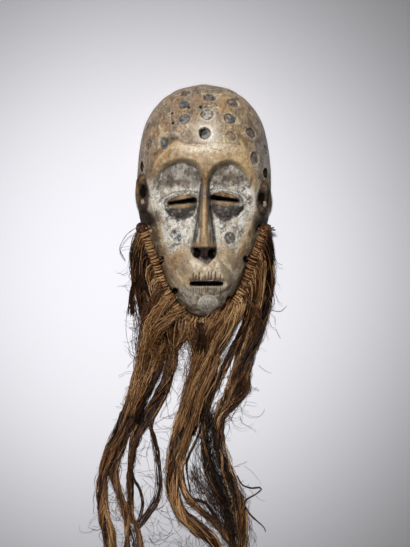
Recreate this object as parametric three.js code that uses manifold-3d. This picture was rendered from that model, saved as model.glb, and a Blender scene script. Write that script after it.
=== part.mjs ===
// A carved wooden face mask with a raffia beard, lying on its back.
// Units are millimetres. +X is the viewer's right, +Y points to the crown, +Z points up to the viewer.
// All places are measured from the middle of the mask on the plane of its flat rim.
// At the end the whole part is shifted so that its origin is the centre of its footprint.

import * as THREE from 'three';
import { mergeVertices } from 'three/addons/utils/BufferGeometryUtils.js';
import Module from 'manifold-3d';

const wasm = await Module();
wasm.setup();

// Driving dimensions of the carved mask
const CROWN_Y = 105;
const CHIN_Y = -107;
const RIM_EDGE = 3;
const WALL = 9;
const HALF_WIDTH_MOST = 60;
const SIDE_POWER = 2.4;
const TOP_POWER = 2.2;
// Half width of the mask from chin to crown: [y, half width]
const HALF_WIDTHS = [
  [-107, 2], [-103, 11], [-96, 19.5], [-86, 27], [-71, 35], [-54, 41.5], [-36, 50],
  [-22, 56], [-8, 59], [12, 60], [36, 59], [55, 56.5], [73, 51], [86, 42.5], [96, 31], [102, 18], [105, 3],
];
// Height of the middle line of the mask, features left out: [y, height]
const MIDDLE_HEIGHTS = [
  [-107, 4], [-104, 19], [-97, 34], [-86, 45], [-72, 51], [-54, 53], [-36, 54.5],
  [-14, 57], [12, 60], [36, 62], [50, 60.5], [66, 55.5], [80, 47], [92, 35], [101, 20], [105, 4],
];
// Height of the middle line of the hollow behind the face
const HOLLOW_HEIGHTS = [
  [-98, 3], [-93, 18], [-84, 31], [-70, 38], [-40, 40], [0, 40], [25, 42],
  [48, 45], [66, 42], [80, 33], [91, 18], [96, 3],
];

// Heart-shaped face, sunk below the brow
const FACE_DEPTHS = [
  [-80, -3], [-62, -1], [-54, 0.8], [-40, 3.5], [-20, 7], [0, 9.5], [25, 10.5], [50, 10.5],
];
const FACE_FADE_HALF_WIDTH = 57;
const FACE_WALL_TAPER = 5;
const FACE_CENTRE = [0, -5];
const FACE_TAPER_MOST = 0.8;
const FACE_POINTS = 60;
// Heights between which the tool that sinks the face runs
const FACE_TOOL_LOW = 20;
const FACE_TOOL_HIGH = 90;
const FACE_OUTLINE = [
  [1.6, 20], [-1.4, 27.5], [-6.3, 34.4], [-18, 38.5], [-30.6, 35.8], [-39.6, 29.5], [-46.8, 20],
  [-49, 8], [-47.7, -5], [-43.5, -19], [-39, -36], [-28.8, -57], [0, -66], [25.2, -57], [36, -39],
  [42.3, -24], [45.9, -9.7], [46.2, 3], [43.4, 15.5], [39.2, 25.9], [31.5, 33.5], [22.1, 36.9],
  [9.9, 32.6], [4.5, 26.5],
];

// Nose, section by section from the bridge to the lip: [y, x, half ridge, half base, ridge height]
const NOSE_SECTIONS = [
  [25, 1.8, 1.6, 3.2, 61], [14, 0.8, 2.2, 4.4, 59], [-4, 0.4, 2.5, 6.4, 60], [-22, 0.2, 2.7, 9, 62.5],
  [-36, 0.2, 3.8, 11, 65.5], [-41, 0.3, 4.2, 11.4, 65], [-45, 0.8, 2.8, 8.6, 60.5], [-55, 2.1, 0.5, 1, 50],
];
const NOSE_SHOULDER = 0.55;
const NOSE_FOOT = 40;
const NOSTRILS = [[-5, -45.6], [6.6, -46]];
const NOSTRIL_RADIUS = 2.3;
const NOSTRIL_HEIGHT = 58;
const NOSTRIL_STRETCH = 1.6;

// Coffee-bean eyes: middle, size and the ends of each slit
const EYES = [
  { at: [-20.7, -2.5], size: [15, 12.5, 7], inner: [-9.2, 0.9], outer: [-31, -2] },
  { at: [19.8, -1.6], size: [15.5, 12.5, 7], inner: [7.4, 3.2], outer: [29.9, 0.4] },
];
const EYE_BASE = 47;
const LID_SIZE = [13.6, 4.8, 5];
const LID_RISE = 4;
const SLIT_INNER_HALF = 1.9;
const SLIT_OUTER_HALF = 0.9;
// A slit's ends, in its half width: how far the tip goes on, its half width and where the full width starts
const SLIT_TIP = 0.3;
const SLIT_TIP_HALF = 0.6;
const SLIT_FULL = 0.5;
const SLIT_LOW = 20;
const SLIT_DEPTH = 70;

// Mouth slit with a row of tooth marks above it
const MOUTH = { left: -12.6, right: 16.9, y: -74, half: 2.2 };
const MOUTH_SWELL = { at: [2, -71, 42.8], size: [22, 14, 9.6] };
const TEETH = {
  count: 9, left: -9.5, right: 14, bottom: -71, top: -65, width: 0.9, depth: 1.1, level: 0.97, bend: 4,
};

// Ears on the sides, each an oval pad with an oval sink
const EARS = [
  { at: [-56.4, 7.2], pad: [10.5, 17.5, 5], sink: [3.6, 8.4, 4.5] },
  { at: [54.8, 1.6], pad: [9.5, 14.5, 5], sink: [3.2, 7.2, 4.5] },
];
const EAR_SINK_LEVEL = 0.75;
const TIE_HOLES = [[-56, 31.3], [55, 25.4]];
const TIE_HOLE_RADIUS = 3.4;
const HOLE_DEPTH = 24;
const HOLE_SIDES = 8;
const DRILL_ABOVE = 4;
const HOLLOW_FLOOR = -5;

// Round inlay pits on the forehead: [x, y]
const PITS = [
  [-16.6, 97], [4.9, 92.6], [25.7, 88.4], [-18, 86.4], [2.9, 77.6], [-17.3, 73.6], [23.4, 74],
  [-50.3, 67], [42.4, 60.9], [-36.4, 51.8], [-49.6, 50.5], [55.4, 46.2], [45.4, 38.2],
];
const PIT_RADIUS = 5.2;
const PIT_DEPTH = 0.8;
const PIT_SIDES = 7;
const BROW_PIT = [0.8, 60.7];
const BROW_PIT_DEPTH = 2.6;
const CHEEK_PITS = [[-25.6, -31], [23.8, -33.2]];

// Fibre band along the lower face, tied through holes in the wood; angles are in degrees round BAND_CENTRE
const BAND_RADIUS = 4.6;
const BAND_CENTRE = [0, -20];
const BAND_FROM = 183;
const BAND_TO = 356;
const BAND_CHIN_HEIGHT = 19;
const BAND_CLIMB = 10;
const BAND_STEPS = 28;
const BAND_SIDES = 8;
const KNOT_RADIUS = 5.6;
const TIE_ANGLES = [185, 221, 248, 289, 321, 354];
const TIE_ABOVE = 2.2;
const TIE_RADIUS = 1.1;
const TIE_DEPTH = 17;
const BAND_HOLE_RADIUS = 4.1;
const INNER_KNOT_RADIUS = 4.2;
const STUB = [8.5, -0.6, 2];
const STUB_RADIUS = 1.5;
const WALL_REACH = 130;
const WALL_HALVINGS = 30;

// Locks of raffia: a route over the floor and the width of the lock along it
const LOCK_LAND = 52;
const LOCK_HEAD_LIFT = 13;
const LOCK_SIDES = 6;
const LOCK_STEP = 26;
const LOCK_THIN_LEAST = 0.4;
const LOCKS = {
  left_outer: {
    route: [[-59, -30], [-62.5, -52], [-62, -74], [-57, -96], [-50, -119], [-54.5, -139], [-60, -158],
      [-65.5, -180], [-74.5, -203], [-83, -222], [-89, -240], [-92.5, -262], [-91, -284], [-86, -302],
      [-82, -326], [-80, -358]],
    widths: [14, 14, 13, 11, 10, 10, 10, 11, 11, 10, 5], height: 14,
  },
  left_second: {
    route: [[-54, -47], [-54, -76], [-49, -100], [-43, -120], [-46.5, -139], [-52.5, -158], [-59, -180],
      [-68, -203], [-78, -225], [-81.5, -244], [-76, -265], [-68, -284], [-64, -302], [-62, -346]],
    widths: [15, 13, 11, 10, 9, 9, 9, 9, 9, 8, 5], height: 12,
  },
  left_third: {
    route: [[-46, -68], [-41, -92], [-35, -112], [-38, -137], [-46, -158], [-55, -180], [-65, -202],
      [-73, -220]],
    widths: [15, 13, 12, 10, 8, 6, 3], height: 15,
  },
  left_inner: {
    route: [[-35, -88], [-29, -104], [-23.5, -119], [-28, -138], [-33.5, -158], [-42, -180],
      [-55.5, -202], [-63, -220], [-66, -240], [-66, -262], [-66, -284]],
    widths: [15, 12, 11, 11, 11, 10, 8, 7, 6, 4], height: 12,
  },
  chin_left: {
    route: [[-19, -102], [-17, -111], [-19, -120], [-25, -131]],
    widths: [13, 11, 7, 3], height: 11,
  },
  middle_left: {
    route: [[-6, -114], [-4.5, -136], [-6.5, -158], [-12.5, -178], [-20, -200], [-27, -226],
      [-28, -256], [-21, -277], [-6, -292], [11, -311], [22, -350]],
    widths: [15, 13, 12, 13, 13, 12, 11, 5], height: 16,
  },
  middle_right: {
    route: [[10, -112], [6, -134], [3.5, -154], [-1.5, -176], [-10, -196], [-18, -218], [-21.5, -244],
      [-14, -266], [2, -282], [18, -298], [30, -318], [36, -352]],
    widths: [15, 13, 11, 11, 10, 7, 5, 7, 9, 8, 4], height: 13,
  },
  right_inner: {
    route: [[27, -97], [19, -114], [12.5, -132], [9, -150], [5, -170], [-2, -192], [-9, -210]],
    widths: [15, 11, 8, 8, 9, 7, 3], height: 14,
  },
  right_third: {
    route: [[37, -82], [37, -100], [31.5, -118], [22.5, -138], [15.5, -157], [6, -178], [-1, -198],
      [-2.5, -222], [2, -246], [14, -262], [23, -284], [26, -312], [23, -344]],
    widths: [15, 10, 8, 8, 9, 11, 12, 11, 10, 5], height: 12,
  },
  right_second: {
    route: [[46, -64], [46, -88], [41, -112], [33, -134], [28.5, -154], [21, -176], [12, -194],
      [10, -214], [16, -236], [26, -256], [33, -278], [34, -304], [35, -340]],
    widths: [15, 13, 10, 10, 10, 12, 13, 11, 5], height: 15,
  },
  right_outer: {
    route: [[56, -37], [58, -66], [56, -90], [49.5, -113], [41, -134], [36.5, -152], [35.5, -168],
      [25, -183], [15, -196], [10, -212]],
    widths: [15, 14, 12, 11, 11, 10, 7, 3], height: 13,
  },
};

const GAP = 0.35;
const WELD = 1e-4;
const CURVE_POINTS = 220;

// Facets: columns and rows of the grids, and segments and rings of the rounded shapes
const MASK_GRID = [18, 24];
const FACE_GRID = [14, 18];
const HOLLOW_GRID = [11, 14];
const EYE_FACETS = [16, 8];
const LID_FACETS = [14, 6];
const SWELL_FACETS = [16, 8];
const EAR_FACETS = [14, 8];
const SINK_FACETS = [10, 6];
const NOSTRIL_FACETS = [8, 6];
const KNOT_FACETS = [8, 5];
const INNER_KNOT_FACETS = [6, 4];
const TWINE_SIDES = 6;

const WOOD = { color: 0xa08a6a, roughness: 0.62, metalness: 0 };
const RAFFIA = { color: 0x6b4526, roughness: 0.85, metalness: 0 };
const TWINE = { color: 0x8a6238, roughness: 0.85, metalness: 0 };

// A smooth curve y(x) through a few named stations
function profile(stations) {
  const points = stations.map(([at, value]) => new THREE.Vector3(at, value, 0));
  const curve = new THREE.CatmullRomCurve3(points, false, 'centripetal').getPoints(CURVE_POINTS);
  return (at) => {
    const next = curve.findIndex((point) => point.x >= at);
    if (next < 0) return curve[curve.length - 1].y;
    if (next === 0) return curve[0].y;
    const low = curve[next - 1];
    const high = curve[next];
    const share = (at - low.x) / (high.x - low.x);
    return low.y + (high.y - low.y) * share;
  };
}

const halfWidth = profile(HALF_WIDTHS);
const middleHeight = profile(MIDDLE_HEIGHTS);
const hollowHeight = profile(HOLLOW_HEIGHTS);
const faceDepth = profile(FACE_DEPTHS);

// Height of the smooth mask over a place on its plane
function domeHeight(x, y) {
  const across = Math.min(Math.abs(x) / halfWidth(y), 1);
  const rise = Math.pow(1 - Math.pow(across, SIDE_POWER), 1 / TOP_POWER);
  return RIM_EDGE + (middleHeight(y) - RIM_EDGE) * rise;
}

// Height of the sunken face, which fades out at the temples and above the mouth
function faceHeight(x, y) {
  const fade = 1 - Math.pow(Math.min(Math.abs(x) / FACE_FADE_HALF_WIDTH, 1), 3);
  return domeHeight(x, y) - faceDepth(y) * fade;
}

function normalAt(height, x, y) {
  const step = 0.5;
  const slopeX = (height(x + step, y) - height(x - step, y)) / (2 * step);
  const slopeY = (height(x, y + step) - height(x, y - step)) / (2 * step);
  return new THREE.Vector3(-slopeX, -slopeY, 1).normalize();
}

function toSolid(geometry) {
  const bare = geometry.clone();
  bare.deleteAttribute('normal');
  bare.deleteAttribute('uv');
  const merged = mergeVertices(bare, WELD);
  const index = Array.from(merged.index.array);
  const triVerts = [];
  for (let i = 0; i < index.length; i += 3) {
    const [a, b, c] = index.slice(i, i + 3);
    if (a !== b && b !== c && c !== a) triVerts.push(a, b, c);
  }
  return new wasm.Manifold(new wasm.Mesh({
    numProp: 3,
    vertProperties: new Float32Array(merged.attributes.position.array),
    triVerts: new Uint32Array(triVerts),
  }));
}

function toMesh(name, solid, look) {
  const data = solid.getMesh();
  const geometry = new THREE.BufferGeometry();
  geometry.setAttribute('position', new THREE.BufferAttribute(new Float32Array(data.vertProperties), 3));
  geometry.setIndex(new THREE.BufferAttribute(new Uint32Array(data.triVerts), 1));
  geometry.computeVertexNormals();
  const mesh = new THREE.Mesh(geometry, new THREE.MeshStandardMaterial(look));
  mesh.name = name;
  return mesh;
}

// A block whose top is a function surface inside the mask's outline and whose flat underside is a fan
function outlineSolid([columns, rows], yLow, yHigh, width, height, floor) {
  const geometry = new THREE.BoxGeometry(2, 2, 2, columns, rows, 1);
  const position = geometry.attributes.position;
  for (let i = 0; i < position.count; i += 1) {
    const u = position.getX(i);
    const v = position.getY(i);
    // Square to disc, then spread so that the steep sides get their share of the grid
    const a = u * Math.sqrt(1 - v * v / 2);
    const b = v * Math.sqrt(1 - u * u / 2);
    const radius = Math.hypot(a, b);
    const spread = radius > 0 ? Math.sin(radius * Math.PI / 2) / radius : 1;
    const along = b * spread;
    const across = along * along < 1 ? a * spread / Math.sqrt(1 - along * along) : 0;
    const y = yLow + (yHigh - yLow) * (along + 1) / 2;
    const x = width(y) * THREE.MathUtils.clamp(across, -1, 1);
    const inside = Math.max(Math.abs(u), Math.abs(v)) < 1 - 1e-6;
    if (position.getZ(i) > 0) position.setXYZ(i, x, y, height(x, y));
    else if (inside) position.setXYZ(i, 0, (yLow + yHigh) / 2, floor);
    else position.setXYZ(i, x, y, floor);
  }
  return toSolid(geometry);
}

function ellipsoid(size, [segments, rings]) {
  return new THREE.SphereGeometry(1, segments, rings).scale(...size);
}

// A shape turned so that its own Z follows a direction and set at a place
function aim(geometry, direction, place) {
  const turn = new THREE.Quaternion().setFromUnitVectors(new THREE.Vector3(0, 0, 1), direction);
  return geometry.applyQuaternion(turn).translate(place.x, place.y, place.z);
}

// A round drill of a given depth into a function surface
function drill(height, [x, y], radius, depth, sides) {
  const direction = normalAt(height, x, y);
  const bore = new THREE.CylinderGeometry(radius, radius, depth + DRILL_ABOVE, sides).rotateX(Math.PI / 2);
  const middle = new THREE.Vector3(x, y, height(x, y)).addScaledVector(direction, (DRILL_ABOVE - depth) / 2);
  return toSolid(aim(bore, direction, middle));
}

// Sections, each a ring of points, joined into one closed skin
function loft(rings) {
  const sides = rings[0].length;
  const points = rings.flat();
  const index = [];
  for (let i = 0; i + 1 < rings.length; i += 1) {
    for (let j = 0; j < sides; j += 1) {
      const a = i * sides + j;
      const b = i * sides + (j + 1) % sides;
      index.push(a, b, a + sides, b, b + sides, a + sides);
    }
  }
  const last = (rings.length - 1) * sides;
  for (let j = 1; j + 1 < sides; j += 1) {
    index.push(0, j + 1, j, last, last + j, last + j + 1);
  }
  const geometry = new THREE.BufferGeometry().setFromPoints(points);
  geometry.setIndex(index);
  return toSolid(geometry);
}

// The tool that sinks the heart-shaped face: a tapered heart, less the face that stays
function faceCutter() {
  const outline = new THREE.CatmullRomCurve3(
    FACE_OUTLINE.map(([x, y]) => new THREE.Vector3(x, y, 0)), true, 'centripetal',
  );
  const centre = new THREE.Vector3(...FACE_CENTRE, 0);
  const edge = outline.getSpacedPoints(FACE_POINTS).slice(0, FACE_POINTS);
  const deepest = Math.max(...FACE_DEPTHS.map(([, depth]) => depth));
  const rings = [FACE_TOOL_LOW, FACE_TOOL_HIGH].map((z) => edge.map((point) => {
    const inward = FACE_WALL_TAPER * (domeHeight(point.x, point.y) - z) / deepest;
    const toCentre = centre.clone().sub(point).normalize();
    const shift = Math.min(inward, point.distanceTo(centre) * FACE_TAPER_MOST);
    return new THREE.Vector3(point.x + toCentre.x * shift, point.y + toCentre.y * shift, z);
  }));
  const face = outlineSolid(FACE_GRID, CHIN_Y, CROWN_Y, halfWidth, faceHeight, -GAP);
  return loft(rings).subtract(face);
}

function nose() {
  return loft(NOSE_SECTIONS.map(([y, x, ridge, base, top]) => {
    const shoulder = ridge + (base - ridge) * NOSE_SHOULDER;
    const face = Math.min(faceHeight(x, y) - 1, top - 1);
    const mid = face + (top - face) * NOSE_SHOULDER;
    return [
      [base, NOSE_FOOT], [base, face], [shoulder, mid], [ridge, top],
      [-ridge, top], [-shoulder, mid], [-base, face], [-base, NOSE_FOOT],
    ].map(([across, z]) => new THREE.Vector3(x + across, y, z));
  }));
}

// A slit through the wood between two points, with a half width at each end
function slit(from, to, halfFrom, halfTo) {
  const along = new THREE.Vector2(to[0] - from[0], to[1] - from[1]).normalize();
  const side = new THREE.Vector2(-along.y, along.x);
  const corner = (end, half, ahead, off) => new THREE.Vector2(
    end[0] + along.x * ahead + side.x * half * off, end[1] + along.y * ahead + side.y * half * off,
  );
  const shape = new THREE.Shape([
    corner(from, halfFrom, -halfFrom * SLIT_TIP, SLIT_TIP_HALF),
    corner(from, halfFrom, -halfFrom * SLIT_TIP, -SLIT_TIP_HALF),
    corner(from, halfFrom, halfFrom * SLIT_FULL, -1),
    corner(to, halfTo, -halfTo * SLIT_FULL, -1),
    corner(to, halfTo, halfTo * SLIT_TIP, -SLIT_TIP_HALF),
    corner(to, halfTo, halfTo * SLIT_TIP, SLIT_TIP_HALF),
    corner(to, halfTo, -halfTo * SLIT_FULL, 1),
    corner(from, halfFrom, halfFrom * SLIT_FULL, 1),
  ]);
  const geometry = new THREE.ExtrudeGeometry(shape, { depth: SLIT_DEPTH, bevelEnabled: false });
  return toSolid(geometry.translate(0, 0, SLIT_LOW));
}

// Short upright cuts that mark the upper teeth
function teeth() {
  const step = (TEETH.right - TEETH.left) / (TEETH.count - 1);
  const long = TEETH.top - TEETH.bottom;
  let marks = null;
  for (let i = 0; i < TEETH.count; i += 1) {
    const mark = new THREE.BoxGeometry(TEETH.width, long, 2 * TEETH.depth);
    const x = TEETH.left + i * step;
    const lip = MOUTH_SWELL.at[2] + MOUTH_SWELL.size[2] * TEETH.level;
    const bent = ((x - MOUTH_SWELL.at[0]) / MOUTH_SWELL.size[0]) ** 2 * TEETH.bend;
    const solid = toSolid(mark.translate(x, (TEETH.top + TEETH.bottom) / 2, lip - bent));
    marks = marks ? marks.add(solid) : solid;
  }
  return marks;
}

function eye({ at, size, inner, outer }) {
  const swell = ellipsoid(size, EYE_FACETS).translate(at[0], at[1], EYE_BASE);
  const tilt = Math.atan2(inner[1] - outer[1], inner[0] - outer[0]);
  const turn = Math.abs(tilt) > Math.PI / 2 ? tilt + Math.PI : tilt;
  const middle = [(inner[0] + outer[0]) / 2, (inner[1] + outer[1]) / 2];
  const lid = ellipsoid(LID_SIZE, LID_FACETS).rotateZ(turn).translate(...middle, EYE_BASE + LID_RISE);
  return toSolid(swell).add(toSolid(lid));
}

function ear({ at, pad, sink }) {
  const direction = normalAt(domeHeight, at[0], at[1]);
  const place = new THREE.Vector3(at[0], at[1], domeHeight(at[0], at[1]));
  const sinkPlace = place.clone().addScaledVector(direction, pad[2] * EAR_SINK_LEVEL);
  return {
    raised: toSolid(aim(ellipsoid(pad, EAR_FACETS), direction, place)),
    sunk: toSolid(aim(ellipsoid(sink, SINK_FACETS), direction, sinkPlace)),
  };
}

// The space behind the face, open at the rim
function hollow() {
  const low = CHIN_Y + WALL;
  const high = CROWN_Y - WALL;
  const narrow = 1 - WALL / HALF_WIDTH_MOST;
  const width = (y) => narrow * halfWidth(CHIN_Y + (y - low) * (CROWN_Y - CHIN_Y) / (high - low));
  const rise = (x, y) => {
    const across = Math.min(Math.abs(x) / width(y), 1);
    return hollowHeight(y) * Math.pow(1 - Math.pow(across, SIDE_POWER), 1 / TOP_POWER);
  };
  return outlineSolid(HOLLOW_GRID, low, high, width, rise, HOLLOW_FLOOR);
}

// A place on the wall of the mask at a given height, seen from BAND_CENTRE under an angle
function wallPlace(angle, height) {
  const turn = THREE.MathUtils.degToRad(angle);
  let inside = 0;
  let outside = WALL_REACH;
  for (let i = 0; i < WALL_HALVINGS; i += 1) {
    const reach = (inside + outside) / 2;
    const x = BAND_CENTRE[0] + reach * Math.cos(turn);
    const y = BAND_CENTRE[1] + reach * Math.sin(turn);
    const onMask = y > CHIN_Y && Math.abs(x) < halfWidth(y) && domeHeight(x, y) > height;
    if (onMask) inside = reach;
    else outside = reach;
  }
  const x = BAND_CENTRE[0] + inside * Math.cos(turn);
  const y = BAND_CENTRE[1] + inside * Math.sin(turn);
  return new THREE.Vector3(x, y, domeHeight(x, y));
}

function bandHeight(angle) {
  return BAND_CHIN_HEIGHT + BAND_CLIMB * Math.abs(Math.cos(THREE.MathUtils.degToRad(angle))) ** 3;
}

// A place off the wall beside the band, at a distance along the wall's own normal
function besideWall(angle, distance) {
  const touch = wallPlace(angle, bandHeight(angle));
  return touch.addScaledVector(normalAt(domeHeight, touch.x, touch.y), distance);
}

function tiePlace(angle) {
  return wallPlace(angle, bandHeight(angle) + TIE_ABOVE);
}

function bandTube(radius, distance) {
  const points = [];
  for (let i = 0; i <= BAND_STEPS; i += 1) {
    const angle = BAND_FROM + (BAND_TO - BAND_FROM) * i / BAND_STEPS;
    points.push(besideWall(angle, distance));
  }
  const section = new THREE.Shape();
  section.absarc(0, 0, radius, 0, Math.PI * 2);
  return toSolid(new THREE.ExtrudeGeometry(section, {
    curveSegments: BAND_SIDES / 2,
    steps: BAND_STEPS,
    bevelEnabled: false,
    extrudePath: new THREE.CatmullRomCurve3(points),
  }));
}

function rod(from, to, radius) {
  const span = to.clone().sub(from);
  const bar = new THREE.CylinderGeometry(radius, radius, span.length(), TWINE_SIDES).rotateX(Math.PI / 2);
  return toSolid(aim(bar, span.normalize(), from.clone().add(to).multiplyScalar(0.5)));
}

// The band with the knots that end it and the twine that ties it through the holes of the mask
function beardBand() {
  const distance = BAND_RADIUS + GAP;
  let band = bandTube(BAND_RADIUS, distance);
  [BAND_FROM, BAND_TO].forEach((angle) => {
    const place = besideWall(angle, KNOT_RADIUS + GAP);
    const knot = ellipsoid([KNOT_RADIUS, KNOT_RADIUS, KNOT_RADIUS], KNOT_FACETS);
    band = band.add(toSolid(knot.translate(place.x, place.y, place.z)));
  });
  TIE_ANGLES.forEach((angle) => {
    const hole = tiePlace(angle);
    const inward = normalAt(domeHeight, hole.x, hole.y).negate();
    const end = hole.addScaledVector(inward, TIE_DEPTH);
    const knot = ellipsoid([INNER_KNOT_RADIUS, INNER_KNOT_RADIUS, INNER_KNOT_RADIUS], INNER_KNOT_FACETS);
    band = band.add(rod(besideWall(angle, distance), end, TIE_RADIUS));
    band = band.add(toSolid(knot.translate(end.x, end.y, end.z)));
  });
  const start = besideWall(BAND_TO, KNOT_RADIUS + GAP);
  const tip = start.clone().add(new THREE.Vector3(...STUB));
  return band.add(rod(start, tip, STUB_RADIUS));
}

// One lock of raffia, grown by a margin where it is only used to keep its neighbours clear
function lockSolid({ route, widths, height }, margin) {
  const curve = new THREE.CatmullRomCurve3(route.map(([x, y]) => new THREE.Vector3(x, y, 0)));
  const spread = new THREE.CatmullRomCurve3(widths.map((width, i) => new THREE.Vector3(i, width, 0)));
  const widest = Math.max(...widths);
  const length = curve.getLength();
  const steps = Math.round(length / LOCK_STEP);
  const rings = [];
  for (let i = 0; i <= steps; i += 1) {
    const share = i / steps;
    const place = curve.getPointAt(share);
    const along = curve.getTangentAt(share);
    const width = spread.getPoint(share).y;
    const thick = height * THREE.MathUtils.clamp(width / widest, LOCK_THIN_LEAST, 1);
    const fall = THREE.MathUtils.smoothstep(LOCK_LAND - share * length, 0, LOCK_LAND);
    const lift = LOCK_HEAD_LIFT * fall;
    const ring = [];
    for (let j = 0; j < LOCK_SIDES; j += 1) {
      const turn = j * 2 * Math.PI / LOCK_SIDES;
      const across = (width / 2 + margin) * Math.cos(turn);
      const up = lift + thick / 2 + (thick / 2 + margin) * Math.sin(turn) / Math.sin(Math.PI / 3);
      ring.push(new THREE.Vector3(place.x + along.y * across, place.y - along.x * across, up));
    }
    rings.push(ring.reverse());
  }
  return loft(rings);
}

function largestBody(solid) {
  return solid.decompose().reduce((best, body) => (body.volume() > best.volume() ? body : best));
}

function locks(keepClear) {
  let taken = keepClear;
  return Object.entries(LOCKS).map(([name, lock]) => {
    const body = largestBody(lockSolid(lock, 0).subtract(taken));
    taken = taken.add(lockSolid(lock, GAP));
    return toMesh(`raffia_lock_${name}`, body, RAFFIA);
  });
}

function carvedMask() {
  let mask = outlineSolid(MASK_GRID, CHIN_Y, CROWN_Y, halfWidth, domeHeight, 0);
  const ears = EARS.map(ear);
  ears.forEach(({ raised }) => {
    mask = mask.add(raised);
  });
  mask = mask.subtract(faceCutter());
  mask = mask.add(nose());
  EYES.forEach((part) => {
    mask = mask.add(eye(part));
  });
  mask = mask.add(toSolid(ellipsoid(MOUTH_SWELL.size, SWELL_FACETS).translate(...MOUTH_SWELL.at)));
  mask = mask.subtract(hollow());
  ears.forEach(({ sunk }) => {
    mask = mask.subtract(sunk);
  });
  EYES.forEach(({ inner, outer }) => {
    mask = mask.subtract(slit(inner, outer, SLIT_INNER_HALF, SLIT_OUTER_HALF));
  });
  mask = mask.subtract(slit([MOUTH.left, MOUTH.y], [MOUTH.right, MOUTH.y], MOUTH.half, MOUTH.half));
  mask = mask.subtract(teeth());
  NOSTRILS.forEach(([x, y]) => {
    const size = [NOSTRIL_RADIUS, NOSTRIL_RADIUS, NOSTRIL_RADIUS * NOSTRIL_STRETCH];
    mask = mask.subtract(toSolid(ellipsoid(size, NOSTRIL_FACETS).translate(x, y, NOSTRIL_HEIGHT)));
  });
  TIE_HOLES.forEach((place) => {
    mask = mask.subtract(drill(domeHeight, place, TIE_HOLE_RADIUS, HOLE_DEPTH, HOLE_SIDES));
  });
  TIE_ANGLES.map(tiePlace).forEach(({ x, y }) => {
    mask = mask.subtract(drill(domeHeight, [x, y], BAND_HOLE_RADIUS, HOLE_DEPTH, HOLE_SIDES));
  });
  PITS.forEach((place) => {
    mask = mask.subtract(drill(domeHeight, place, PIT_RADIUS, PIT_DEPTH, PIT_SIDES));
  });
  mask = mask.subtract(drill(domeHeight, BROW_PIT, PIT_RADIUS, BROW_PIT_DEPTH, PIT_SIDES));
  CHEEK_PITS.forEach((place) => {
    mask = mask.subtract(drill(faceHeight, place, PIT_RADIUS, PIT_DEPTH, PIT_SIDES));
  });
  return mask;
}

const group = new THREE.Group();
group.add(toMesh('carved_mask', carvedMask(), WOOD));
group.add(toMesh('beard_band', beardBand(), TWINE));
// The mask and the band, both grown by the gap, which the locks keep clear of
const grownWidth = (y) => halfWidth(y) + GAP;
const grownHeight = (x, y) => domeHeight(x / (1 + GAP / HALF_WIDTH_MOST), y) + GAP;
const grownMask = outlineSolid(MASK_GRID, CHIN_Y - GAP, CROWN_Y, grownWidth, grownHeight, -GAP);
const grownBand = bandTube(BAND_RADIUS + GAP, BAND_RADIUS + GAP);
locks(grownMask.add(grownBand)).forEach((lock) => group.add(lock));

const box = new THREE.Box3().setFromObject(group);
const middle = box.getCenter(new THREE.Vector3());
group.position.set(-middle.x, -middle.y, -box.min.z);

export default group;
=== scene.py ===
import math

import bpy
import numpy as np
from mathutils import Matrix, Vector


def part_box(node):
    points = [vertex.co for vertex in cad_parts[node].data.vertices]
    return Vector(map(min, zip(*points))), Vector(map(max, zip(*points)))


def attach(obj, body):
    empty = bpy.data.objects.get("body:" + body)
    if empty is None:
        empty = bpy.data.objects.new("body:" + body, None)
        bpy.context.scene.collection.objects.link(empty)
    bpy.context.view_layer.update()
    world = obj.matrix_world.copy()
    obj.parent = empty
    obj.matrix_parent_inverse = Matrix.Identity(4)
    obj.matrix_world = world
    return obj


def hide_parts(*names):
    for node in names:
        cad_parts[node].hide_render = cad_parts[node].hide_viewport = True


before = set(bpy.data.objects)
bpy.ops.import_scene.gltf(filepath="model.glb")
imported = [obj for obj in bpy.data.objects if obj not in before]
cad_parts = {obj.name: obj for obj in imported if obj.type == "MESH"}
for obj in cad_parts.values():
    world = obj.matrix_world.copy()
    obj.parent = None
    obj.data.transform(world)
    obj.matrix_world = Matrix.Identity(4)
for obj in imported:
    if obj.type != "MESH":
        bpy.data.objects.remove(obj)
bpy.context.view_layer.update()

# A carved wooden mask with a raffia beard, lying on a pale floor.
# Places are in millimetres from the middle of the mask on the plane of its rim, as in the part's source,
# and are moved into the frame and turned into metres when a mesh is made.

MM = 0.001
MASK_LOW, MASK_HIGH = (np.array(corner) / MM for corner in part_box("carved_mask"))

# Driving dimensions of the carved mask, the same as the solids'
CROWN_Y = 105.0
CHIN_Y = -107.0
EAR_LEFT_X = -62.281
RIM_EDGE = 3.0
WALL = 9.0
HALF_WIDTH_MOST = 60.0
SIDE_POWER = 2.4
TOP_POWER = 2.2
SHIFT = np.array([MASK_LOW[0] - EAR_LEFT_X, MASK_HIGH[1] - CROWN_Y, 0.0])

# Stations from chin to crown: y with the half width, the height of the middle, the height of the hollow and
# the depth of the sunken face
HALF_WIDTHS = [
    (-107, 2), (-103, 11), (-96, 19.5), (-86, 27), (-71, 35), (-54, 41.5), (-36, 50), (-22, 56), (-8, 59),
    (12, 60), (36, 59), (55, 56.5), (73, 51), (86, 42.5), (96, 31), (102, 18), (105, 3)]
MIDDLE_HEIGHTS = [
    (-107, 4), (-104, 19), (-97, 34), (-86, 45), (-72, 51), (-54, 53), (-36, 54.5), (-14, 57), (12, 60),
    (36, 62), (50, 60.5), (66, 55.5), (80, 47), (92, 35), (101, 20), (105, 4)]
HOLLOW_HEIGHTS = [
    (-98, 3), (-93, 18), (-84, 31), (-70, 38), (-40, 40), (0, 40), (25, 42), (48, 45), (66, 42), (80, 33),
    (91, 18), (96, 3)]
FACE_DEPTHS = [(-80, -3), (-62, -1), (-54, 0.8), (-40, 3.5), (-20, 7), (0, 9.5), (25, 10.5), (50, 10.5)]
FACE_FADE_HALF_WIDTH = 57.0
FACE_WALL_TAPER = 5.0
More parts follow.
